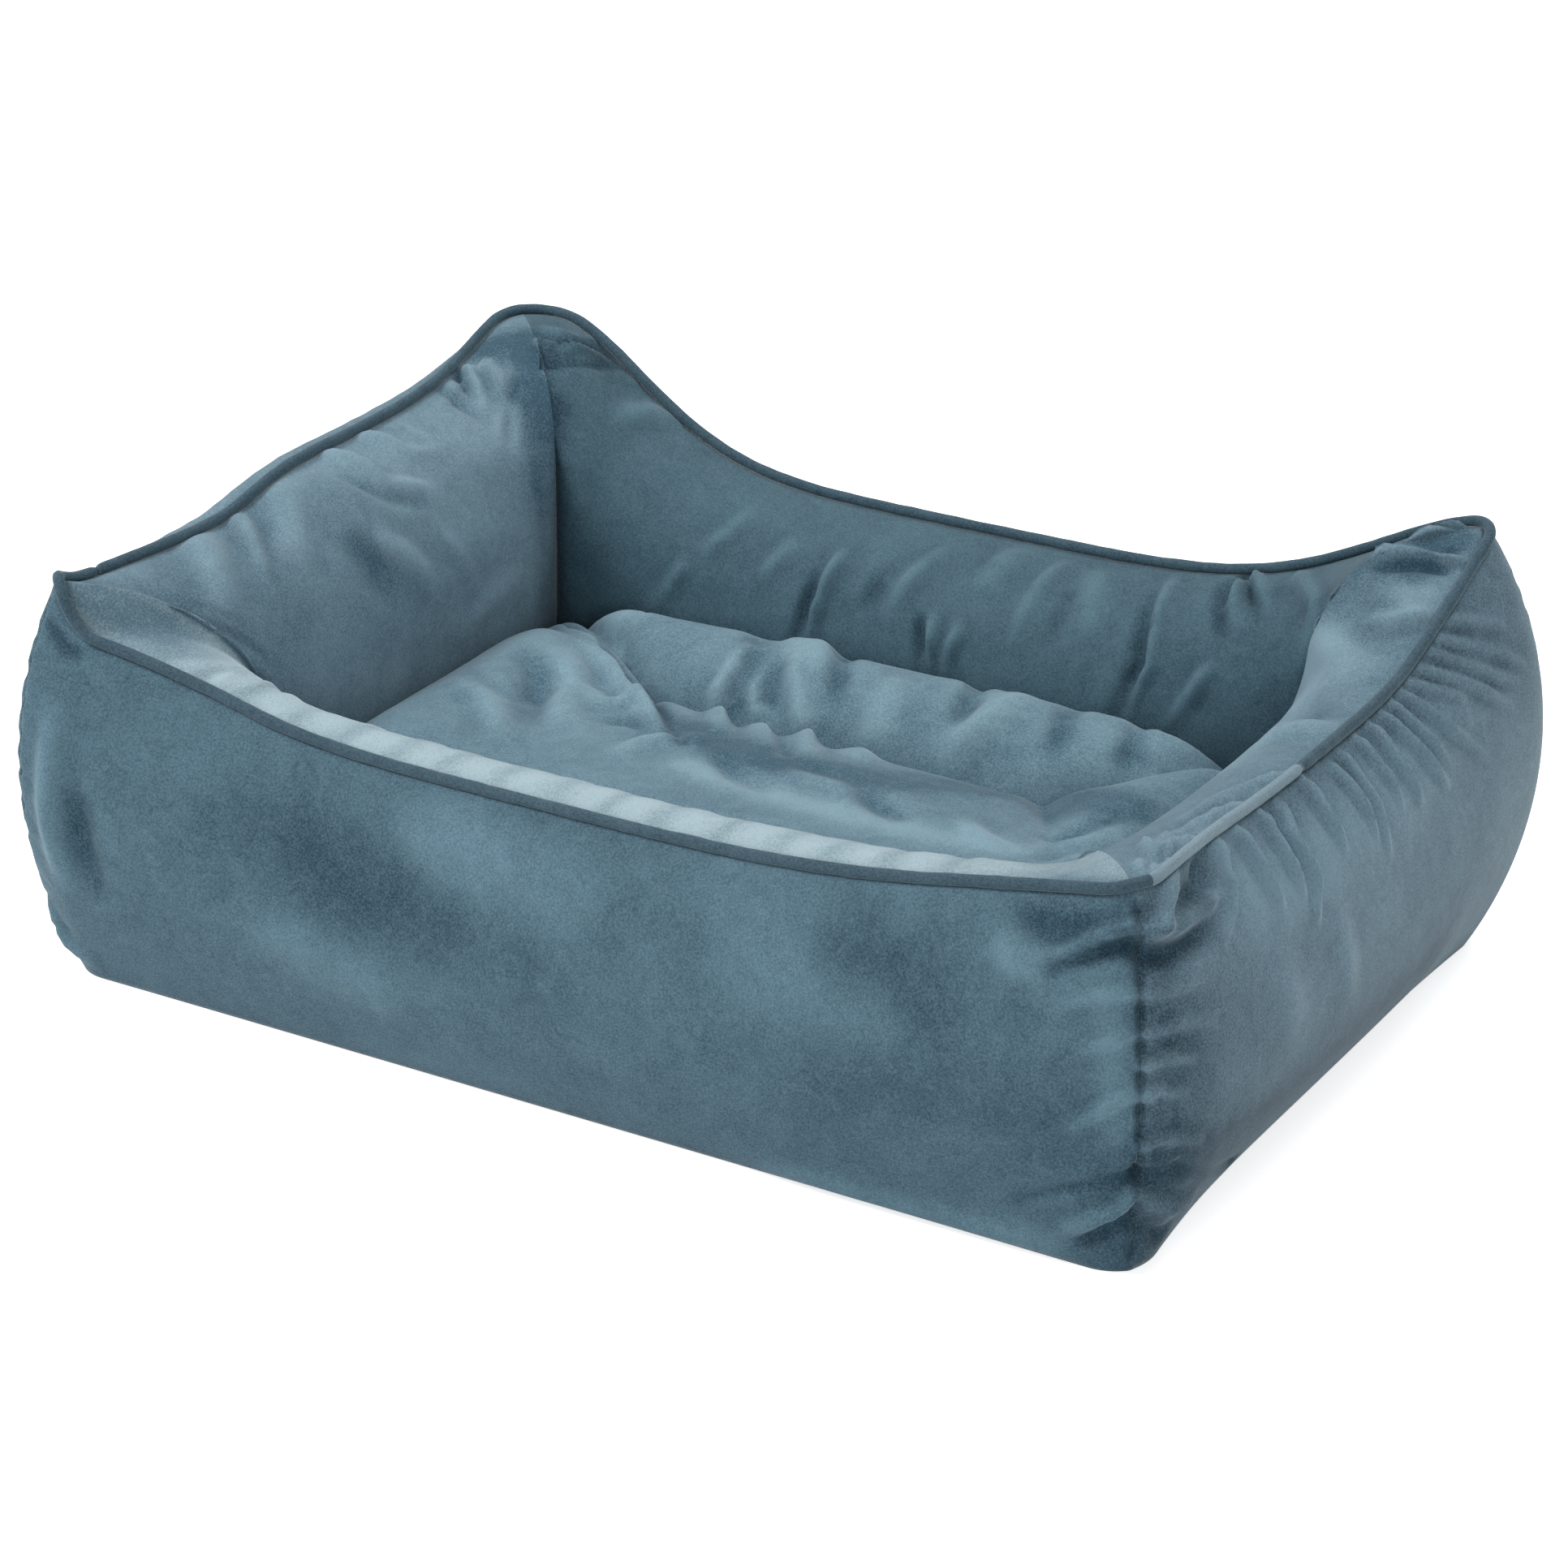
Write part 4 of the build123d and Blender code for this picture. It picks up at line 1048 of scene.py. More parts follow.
def rim_swelling(name: str, shares: tuple, drop: float, width: float, height: float) -> Fold:
    """Swelling of an outside panel that runs along below its rim.

    Args:
        name: the wall.
        shares: places along the wall, as shares of its length.
        drop: how far below the rim it runs, in millimetres.
        width: half its width, in millimetres.
        height: how far it stands out, in millimetres.

    Returns:
        The swelling.
    """
    wall, rim = wall_named(name), 60
    path: list = []
    for share in shares:
        line = wall.line(share * wall.length, (rim, 2, 2, 2))[:rim + 1]
        below = line[rim, 2] - line[:, 2]
        path += [*line[np.abs(below - drop).argmin()]]
    return Fold(tuple(path), width, height, 0.3, 0.3)


# Broad swellings: the outside below the rim, the band behind the front rim, the front foot
SWELLINGS = {
    "outer": (
        rim_swelling("left", (0.08, 0.2, 0.35, 0.5, 0.65, 0.8, 0.92), 9, 15, 13),
        rim_swelling("right", (0.2, 0.4, 0.6, 0.8), 36, 26, 4),
        Fold((320, -262, 8, 250, -262, 6, 120, -262, 6), 12, 4.5, 0.6, 0.1),
    ),
    "inner": (
        Fold((-250, -216, 201, -150, -214, 188, 0, -214, 183, 140, -214, 186, 250, -216, 201),
             26, 12, 0.3, 0.3),
    ),
}

# All folds of the outside and the inside panels
PANEL_FOLDS: dict = {
    "outer": OUTSIDE_FOLDS + SWELLINGS["outer"] + seam_folds() + unseen_folds(),
    "inner": INSIDE_FOLDS + BAND_CREASES + SWELLINGS["inner"],
}

# Lighter and darker streaks on the outside and inside panels: painted shade in creases, corners and along the
# foot, painted light on lit stretches, and pile stroked another way
OUTSIDE_SHADING_AND_PILE_STREAKS = tuple(ShadingAndPileStreak(*row) for row in (
    ((-342, -268, 172, -286, -271, 133, -228, -274, 73), 60, -0.05),
    ((207, -272, 87, 276, -269, 95, 325, -266, 87), 40, -0.2),
    ((-162, -260, 153, -88, -269, 127, -20, -269, 128), 60, -0.06),
    ((112, -254, 165, 214, -250, 179), 24, 0.12),
    ((96, -271, 118, 174, -269, 127), 26, -0.08),
    ((-138, -262, 15, -26, -264, 20), 18, 0.1),
    ((352, -256, 168, 359, -261, 89), 12, 0.4),
    ((312, -248, 202, 353, -248, 203), 11, -0.4),
    ((366, -236, 202, 371, -193, 199), 11, -0.4),
    ((375, -248, 78, 383, -151, 44), 22, -0.4),
    ((370, -246, 163, 385, -224, 129), 22, -0.2),
    ((364, -158, 213, 389, -102, 161, 396, 19, 139, 395, 177, 145), 42, 0.2),
    ((397, -102, 103, 398, -7, 124), 24, 0.15),
    ((-380, -225, 190, -392, -215, 140, -385, -225, 90), 14, 0.4),
    ((372, -240, 30, 384, -100, 42, 384, 100, 42), 28, -0.55),
    ((-366, 190, 270, -370, 60, 260, -370, -60, 257, -366, -170, 252), 10, -0.38),
))
INSIDE_SHADING_AND_PILE_STREAKS = tuple(ShadingAndPileStreak(*row) for row in (
    ((-347, 1, 263, -322, 73, 262, -295, 127, 251), 34, 0.26),
    ((-289, 25, 239, -278, 89, 170), 30, 0.24),
    ((-278, -118, 169, -279, -39, 140), 18, 0.25),
    ((-353, 189, 282, -330, 200, 289, -301, 170, 271), 14, -0.5),
    ((-300, 164, 267, -278, 135, 212, -280, 134, 131), 9, -0.5),
    ((-302, 206, 288, -273, 231, 270), 10, -0.45),
    ((-283, 167, 257, -278, 153, 206, -281, 165, 130), 12, -0.5),
    ((-248, 191, 246, -104, 202, 201, 117, 179, 187), 42, 0.14),
    ((41, 162, 127, 117, 162, 120), 18, 0.2),
    ((278, 177, 242, 325, 186, 265, 343, 216, 274), 14, -0.25),
    ((317, 159, 246, 343, 216, 274), 10, -0.2),
    ((294, -9, 199, 299, 63, 204, 279, 151, 208), 18, 0.5),
    ((350, -221, 227, 355, -143, 221), 10, 0.3),
    ((-360, -245, 257, -335, -226, 238, -310, -214, 225), 20, -0.3),
    ((304, -234, 217, 349, -237, 226), 10, -0.35),
    ((-363, -242, 256, -343, -237, 245, -312, -214, 225), 10, -0.3),
))
PANEL_SHADING_AND_PILE_STREAKS = {"outer": OUTSIDE_SHADING_AND_PILE_STREAKS, "inner": INSIDE_SHADING_AND_PILE_STREAKS + band_shading_streaks()}


@dataclass
class Bolster:
    """The four stuffed walls as one ring of cloth, sewn down at the rim, the floor and the corners."""

    step: float = 7 * MM
    counts: tuple = (30, 13, 18, 7)
    cloth_thickness: float = 1.6 * MM
    stuffing_gap: float = 5.5 * MM
    stuffing_foot: float = 4.6 * MM
    seam_reach: float = 7 * MM
    corner_hold: float = 0.9
    swell: float = 9 * MM
    foot_swell: float = 0.2 * MM
    strips: dict = field(default_factory=dict, repr=False)
    pile_and_shading_maps: dict = field(default_factory=dict, repr=False)
    cores: dict = field(default_factory=dict, repr=False)
    spans: dict = field(default_factory=dict)

    def build(self) -> None:
        """Lay out the ring, let it settle, and work the folds into its strips."""
        rows, start = [], 0
        for wall in WALLS:
            outs = wall.stations(self.step)[:-1]
            rows += [wall.placed(out, wall.section(out, self.counts)) for out in outs]
            self.spans[wall.name] = (4 * start, 4 * (start + len(outs)))
            start += len(outs)
        places = np.array(rows)
        places = self.settle(places)
        rim_out, rim_in, floor = self.columns()
        around = np.concatenate([places, places[:, :1]], axis=1)
        for side, low, high in (("outer", 0, rim_out), ("inner", rim_in, floor), ("under", floor, None)):
            strip = around[:, low:high + 1 if high else None]
            self.strips[side] = refined(refined(refined(strip, 0, True), 0, True), 1, False)
        self.fold()

    def row(self, wall: Wall, out: float) -> float:
        """Row of the strips at a distance from the start corner of a wall."""
        low, high = self.spans[wall.name]
        stations = wall.stations(self.step)
        return float(np.interp(out, stations, np.linspace(low, high, len(stations))))

    def columns(self) -> tuple[int, int, int]:
        """Columns of the rim seam's two sides and of the floor seam."""
        outside, shoulder, face, _ = self.counts
        return outside, outside + 1, outside + 1 + shoulder + face

    def settle(self, places: np.ndarray) -> np.ndarray:
        """Let the ring of cloth puff out between its seams, with spare cloth where it gathers.

        Args:
            places: grid of points of the ring.

        Returns:
            The settled grid.
        """
        count, around = places.shape[:2]
        rim_out, rim_in, floor = self.columns()
        held = np.zeros((count, around))
        held[:, rim_out:rim_in + 1] = 1
        held[:, floor:] = 1
        held[:, 0] = 1
        for low, _ in self.spans.values():
            held[low // 4] = np.maximum(held[low // 4], self.corner_hold)
        ease = np.zeros((count, around))
        height = places[:, :, 2]
        outer = np.arange(around) < rim_out
        inner = (np.arange(around) > rim_in) & (np.arange(around) < floor)
        near_rim = 1 - smooth_share(places[:, rim_out, 2][:, None] - height, 0, 120 * MM)
        for name, outside_ease, rim_ease, inside_ease in SPARE_CLOTH:
            low, high = (end // 4 for end in self.spans[name])
            ease[low:high, outer] = outside_ease + rim_ease * near_rim[low:high][:, outer]
            ease[low:high, inner] = inside_ease
        cap = np.full((count, around), self.swell)
        above_cushion = smooth_share(height, 65 * MM, 125 * MM)
        cap[:, inner] = (self.foot_swell + (self.swell - self.foot_swell) * above_cushion)[:, inner]
        settled = relax_cloth(places.reshape(-1, 3), grid_faces(count, around, True, True), held.ravel(),
                              ease.ravel(), cap.ravel())
        return settled.reshape(count, around, 3)

    def fold(self) -> None:
        """Lift the cloth along its folds, leave its seams where they are, and work out its painted light and
        shade.
        """
        for side, folds in PANEL_FOLDS.items():
            strip = self.strips[side]
            across = np.linalg.norm(np.diff(strip, axis=1), axis=2)
            done = np.concatenate([np.zeros((len(strip), 1)), np.cumsum(across, axis=1)], axis=1)
            from_seam = np.minimum(done, done[:, -1:] - done)
            hold = np.clip(from_seam / self.seam_reach, 0, 1) ** 0.7
            flat = strip.reshape(-1, 3)
            lift = total_lift(folds, flat)
            # Painted shade in fold hollows and painted highlights on fold ridges, with the streaks' painted
            # light and shade and pile tone.
            self.pile_and_shading_maps[side] = pile_and_shading_of(flat, lift, PANEL_SHADING_AND_PILE_STREAKS[side]).reshape(strip.shape[:2])
            lift = (lift.reshape(strip.shape[:2]) * hold)[..., None]
            normals = grid_normals(strip, (True, False))
            self.strips[side] = strip + normals * lift
            self.cores[side] = strip + normals * np.minimum(lift, 0)

    def panel(self, wall: Wall, side: str) -> bpy.types.Object:
        """Cut one panel out of the ring and give it the cloth's thickness.

        Args:
            wall: the wall that it covers.
            side: outer or inner.

        Returns:
            The panel, as a closed sheet.
        """
        low, high = self.spans[wall.name]
        strip = self.strips[side]
        rows = np.arange(low, high + 1) % len(strip)
        part = strip[rows]
        piece = mesh_object(f"{wall.name}_{side}_velvet", part.reshape(-1, 3), grid_faces(*part.shape[:2]))
        put_pile_and_shading(piece, self.pile_and_shading_maps[side][rows].ravel())
        thicken(piece, self.cloth_thickness)
        return piece

    def stuffing(self, wall: Wall) -> bpy.types.Object:
        """Make the fibre fill of one wall, just inside its covers."""
        low, high = self.spans[wall.name]
        outer, inner, under = self.cores["outer"], self.cores["inner"], self.strips["under"]
        ring = np.concatenate([outer[:, ::2], inner[:, ::2], under[:, 2:-2:2]], axis=1)
        inside = ring - grid_normals(ring, (True, True)) * self.stuffing_gap
        part = inside[low + 6:high - 5:2]
        part[..., 2] = np.maximum(part[..., 2], self.stuffing_foot)
        count, around = part.shape[:2]
        points = np.array([*part.reshape(-1, 3), part[0].mean(0), part[-1].mean(0)])
        faces = grid_faces(count, around, round_columns=True) + end_faces(count, around)
        return mesh_object(f"{wall.name}_wall_stuffing", points, faces)

    def dress(self) -> None:
        """Make and finish every panel and filling."""
        finishes = {
            ("front", "outer"): Velvets.OUTSIDE, ("front", "inner"): Velvets.BAND_LIT,
            ("right", "outer"): Velvets.SIDE, ("right", "inner"): Velvets.INSIDE,
            ("back", "outer"): Velvets.OUTSIDE, ("back", "inner"): Velvets.REAR,
            ("left", "outer"): Velvets.SIDE, ("left", "inner"): Velvets.INSIDE,
        }
        for wall in WALLS:
            fill = self.stuffing(wall)
            dress(fill, Stocks.FIBRE, "fibre_fill", "bed", (f"{wall.name}_wall_fill",))
            for side in ("outer", "inner"):
                piece = self.panel(wall, side)
                dress(piece, finishes[wall.name, side], "velvet", "bed", (f"{wall.name}_{side}_panel",))


# --- Piping ----------------------------------------------------------------------------------


@dataclass
class Piping:
    """A cord in a velvet cover along the rim seam, in two lengths that meet end to end."""

    bolster: Bolster
    radius: float = 3.5 * MM
    seat: float = -0.7 * MM
    cord_radius: float = 2.5 * MM
    join_gap: float = 0.4 * MM
    right_join: float = 221 * MM
    left_join: float = 42 * MM
    step: float = 2.5 * MM
    least_step: float = 0.2 * MM
    sides: int = 20
    crease_depth: float = 0.12 * MM
    fullest_share: float = 1.08
    turned_from: tuple = (346 * MM, -231 * MM)

    def route(self, start: float, end: float) -> np.ndarray:
        """Points on the middle of the piping, one seat above the rim seam.

        Args:
            start: row of the seam where the length starts.
            end: row of the seam where it ends, running on past the last row where it goes round.

        Returns:
            Rows of x, y and z at even steps.
        """
        outer, inner = self.bolster.strips["outer"], self.bolster.strips["inner"]
        seam, inside = (outer[:, -1] + inner[:, 0]) / 2, inner[:, 6]
        rows = np.arange(2 * len(seam))
        spots = np.linspace(start, end, int((end - start) * 2))
        points, towards = (rows_at(spots, rows, np.tile(lines, (2, 1))) for lines in (seam, inside))
        inwards = unit((towards - points) * (1, 1, 0))
        keep = np.concatenate([[True], np.linalg.norm(np.diff(points, axis=0), axis=1) > self.least_step])
        points, inwards = points[keep], inwards[keep]
        done = np.concatenate([[0], np.cumsum(np.linalg.norm(np.diff(points, axis=0), axis=1))])
        even = np.linspace(0, done[-1], int(done[-1] / self.step))
        line = rows_at(even, done, points)
        for _ in range(3):
            line[1:-1] = (line[:-2] + 2 * line[1:-1] + line[2:]) / 4
        up = unit(np.cross(np.gradient(line, axis=0), rows_at(even, done, inwards)))
        return line + up * (self.seat + self.radius)

    def tube(self, name: str, line: np.ndarray, radius: float, creases: float) -> bpy.types.Object:
        """Sweep a round section along a line and round off its ends.

        Args:
            name: name of the piece.
            line: points on its middle.
            radius: radius of the tube.
            creases: how deep its cover creases, in metres.

        Returns:
            The closed tube.
        """
        chance = np.random.default_rng(11)
        along = unit(np.gradient(line, axis=0))
        up = unit(np.array([0, 0, 1.0]) - along * along[:, 2:])
        side = np.cross(along, up)
        count = len(line)
        turns = np.linspace(0, 2 * math.pi, self.sides, endpoint=False)
        wobble = chance.normal(0, 1, (count, 3))
        for _ in range(2):
            wobble = (wobble + np.roll(wobble, 1, 0) + np.roll(wobble, -1, 0)) / 3
        waves = wobble[:, :1] + wobble[:, 1:2] * np.cos(turns) + wobble[:, 2:] * np.sin(turns)
        taper = np.ones(count)
        taper[:3], taper[-3:] = (0.55, 0.85, 0.97), (0.97, 0.85, 0.55)
        width = np.minimum(radius + creases * waves, radius * self.fullest_share) * taper[:, None]
        rings = (line[:, None] + side[:, None] * (width * np.cos(turns))[..., None]
                 + up[:, None] * (width * np.sin(turns))[..., None])
        points = np.array([*rings.reshape(-1, 3), line[0], line[-1]])
        sides = grid_faces(count, self.sides, round_columns=True)
        return mesh_object(name, points, [face[::-1] for face in sides] + end_faces(count, self.sides))

    def build(self) -> None:
        """Make and dress both lengths of cover and cord."""
        right, left = wall_named("right"), wall_named("left")
        gap = self.join_gap / 2
        right_join, left_join = self.right_join, left.length - self.left_join
        rows = len(self.bolster.strips["outer"])
        row = self.bolster.row
        lengths = {
            "front": (row(left, left_join + gap), row(right, right_join - gap) + rows),
            "rear": (row(right, right_join + gap), row(left, left_join - gap)),
        }
        for name, (start, end) in lengths.items():
            line = self.route(start, end)
            cover = self.tube(f"{name}_piping_velvet", line, self.radius, self.crease_depth)
            dress(cover, Velvets.PIPING, "piping_velvet", "bed", (f"{name}_piping_cover",))
            cord = self.tube(f"{name}_piping_core", line, self.cord_radius, 0.0)
            dress(cord, Stocks.CORD, "cotton_cord", "bed", (f"{name}_piping_cord",))
            if name == "front":
                self.turn_pile(cover)

    def turn_pile(self, cover: bpy.types.Object) -> None:
        """Show the pile turned over on the stretch along the right wall."""
        cover.data.materials.append(finish_of(Velvets.PIPING_TURNED))
        for face in cover.data.polygons:
            if face.center.x > self.turned_from[0] and face.center.y > self.turned_from[1]:
                face.material_index = 1


# --- Floor and base --------------------------------------------------------------------------


@dataclass
class Floor:
    """The velvet floor inside the walls and the non-slip cloth under the whole bed."""

    lining_margin: float = 77.9 * MM
    lining_foot: float = 2.3 * MM
    lining_thickness: float = 1.7 * MM
    base_cut: tuple = (0.735, 0.504)
    base_step: float = 8 * MM
    base_thickness: float = 1.9 * MM
    base_margin: float = 1.5 * MM
    knob_spacing: float = 12 * MM
    knob_radius: float = 1.7 * MM
    knob_height: float = 0.55 * MM

    def build(self) -> None:
        """Make and dress both cloths."""
        lining_size = (WIDTH - 2 * self.lining_margin, DEPTH - 2 * self.lining_margin)
        half_width, half_depth = lining_size[0] / 2, lining_size[1] / 2
        edge = [(-half_width, -half_depth), (half_width, -half_depth), (half_width, half_depth),
                (-half_width, half_depth)]
        lining = self.cloth("floor_velvet", edge, self.lining_foot, self.lining_thickness)
        dress(lining, Velvets.CUSHION, "velvet", "bed", ("floor_lining",))
        outline = [wall.placed(out, np.array([[wall.foot_inset(out) + self.base_margin, 0.0]]))[0][:2]
                   for wall in WALLS for out in wall.stations(self.base_step)[:-1]]
        base = self.cloth("non_slip_sheet", outline, self.knob_height, self.base_thickness - self.knob_height)
        dress(base, Stocks.NON_SLIP, "non_slip_cloth", "bed", ("non_slip_base",))
        self.knobs(base)

    def knobs(self, base: bpy.types.Object) -> None:
        """Set rubber knobs out over the underside of the base."""
        rings = ((0.0, 0.55 * self.knob_radius), (0.3 * self.knob_height, 0.85 * self.knob_radius),
                 (self.knob_height + 0.1 * MM, self.knob_radius))
        knob = turned_piece("non_slip_knobs", rings, 8, 2)
        columns, rows = int(WIDTH / self.knob_spacing), int(DEPTH / self.knob_spacing)
        bake_nodes(knob, field_group(), {
            "Surface": base, "Columns": columns, "Rows": rows, "Material": finish_of(Stocks.RUBBER),
            "Width": (columns - 1) * self.knob_spacing, "Depth": (rows - 1) * self.knob_spacing,
        })
        dress(knob, Stocks.RUBBER, "non_slip_cloth", "bed")

    @staticmethod
    def cloth(name: str, edge: list, foot: float, thickness: float) -> bpy.types.Object:
        """Make a flat cloth of one thickness.

        Args:
            name: name of the piece.
            edge: places round its edge, counter-clockwise.
            foot: height of its underside.
            thickness: its thickness.

        Returns:
            The closed sheet.
        """
        count = len(edge)
        points = [(x, y, foot) for x, y in edge] + [(x, y, foot + thickness) for x, y in edge]
        faces = [tuple(range(count))[::-1], tuple(range(count, 2 * count))]
        faces += [(i, (i + 1) % count, count + (i + 1) % count, count + i) for i in range(count)]
        piece = mesh_object(name, np.array(points), faces)
        piece.data.shade_flat()
        return piece


# --- The cushion -----------------------------------------------------------------------------

# Folds on the cushion's top
CUSHION_FOLDS = tuple(Fold(*row) for row in (
    ((-50, 0, 135, -97, 73, 123, -94, 87, 136, -97, 114, 144), 6.4, 9, 0.2, 0.3),
    ((5, -13, 136, -34, 31, 127, -64, 78, 130, -67, 96, 140), 5.6, -12, 0.3, 0.2),
    ((28, -22, 137, -31, 69, 122, -53, 98, 141, -75, 128, 142), 6.4, 9.8, 0.2, 0.3),
    ((-9, -7, 136, -67, 74, 126, -80, 91, 138), 5.6, 7.5, 0.2, 0.1),
    ((-37, -1, 135, -82, 70, 120, -86, 85, 135), 5.6, -7.5, 0.2),
    ((-38, 131, 141, -22, 99, 141, -11, 76, 129), 7.2, -10.5, 0.6),
    ((-63, 132, 141, -33, 99, 141), 14, 9, 0.5),
    ((58, 133, 141, 69, 104, 143, 71, 81, 135), 7.2, -9, 0.6),
    ((94, 121, 144, 89, 85, 138, 69, 62, 118), 12, 7.5, 0.4),
    ((174, 131, 140, 183, 103, 136, 194, 45, 136), 8, -7.5, 0.5),
    ((128, 129, 142, 139, 92, 140, 140, 73, 131), 8, -6.8, 0.5),
    ((-240, 114, 135, -173, 73, 128, -58, -32, 137), 5.6, -10.5, 0.3, 0.6),
    ((-237, 102, 139, -171, 55, 133, -79, -22, 137), 7.2, 9, 0.3, 0.3),
    ((-102, 128, 142, -88, 99, 141, -80, 79, 130), 8, -7.5, 0.5),
    ((-154, 11, 133, -133, -5, 136, -120, 11, 134, -87, -10, 136), 7.2, 7.5, 0.2),
    ((-121, -33, 137, -105, -20, 137, -83, -26, 137), 6.4, -6.8),
    ((-84, -65, 137, -76, -44, 137, -57, -25, 137), 7.2, 7.5, 0.2, 0.3),
    ((-204, 47, 142, -167, 11, 136, -137, -58, 137), 12, 6.8),
    ((-218, 36, 144, -181, -4, 138, -152, -62, 138), 12, -6.8),
    ((-229, -31, 143, -195, -44, 139, -154, -86, 138), 8, 6),
    ((69, -34, 137, 92, -54, 137, 120, -64, 137), 8, -6),
    ((143, -45, 137, 170, -65, 138, 193, -73, 139), 7.2, 6),
    ((209, -86, 140, 197, -36, 131, 213, -37, 137), 4.8, 7.5, 0.2, 0.2),
    ((219, -91, 141, 209, -49, 133, 223, -49, 140), 4, -7.5, 0.2, 0.2),
    ((224, -82, 139, 227, -65, 139, 239, -58, 141), 4.8, 6.8, 0.2, 0.2),
    ((14, -37, 137, 40, -42, 137, 75, -44, 137), 7.2, 6),
    ((-32, -37, 137, -7, -58, 137, 33, -69, 137), 8, -6),
    ((197, -36, 131, 215, -24, 140, 232, 10, 143), 7.2, -7.5, 0.3, 0.2),
    ((15, 102, 142, 21, 72, 127, 44, 0, 135), 12, 6, 0.3),
    ((-236, 85, 141, -182, 67, 133, -144, 54, 122, -75, -13, 137), 6, -7, 0.5, 0.3),
    ((-234, 109, 137, -228, 103, 138), 26, -11, 1, 1),
    ((-232, 128, 136, -205, 138, 138), 22, 9, 0.8, 0.8),
))

# Lighter and darker streaks on the cushion: painted shade along its creases, painted light beside them, and
# pile stroked another way
CUSHION_SHADING_AND_PILE_STREAKS = tuple(ShadingAndPileStreak(*row) for row in (
    ((-69, -15, 137, 10, -31, 137, 81, -14, 136, 148, 25, 125, 223, 14, 143), 20, -0.6),
    ((-34, -61, 137, 59, -73, 137, 141, -72, 137, 188, -68, 139), 14, 0.5),
    ((-226, 87, 141, -212, 134, 132), 16, 0.3),
    ((-253, 12, 135, -222, 52, 143), 20, 0.15),
    ((204, -39, 132, 241, -27, 141), 10, 0.2),
    ((-236, 85, 141, -182, 67, 133, -144, 54, 122, -75, -13, 137), 6, -0.5),
    ((207, -95, 141, 201, -43, 132, 215, -36, 138), 5, -0.4),
))


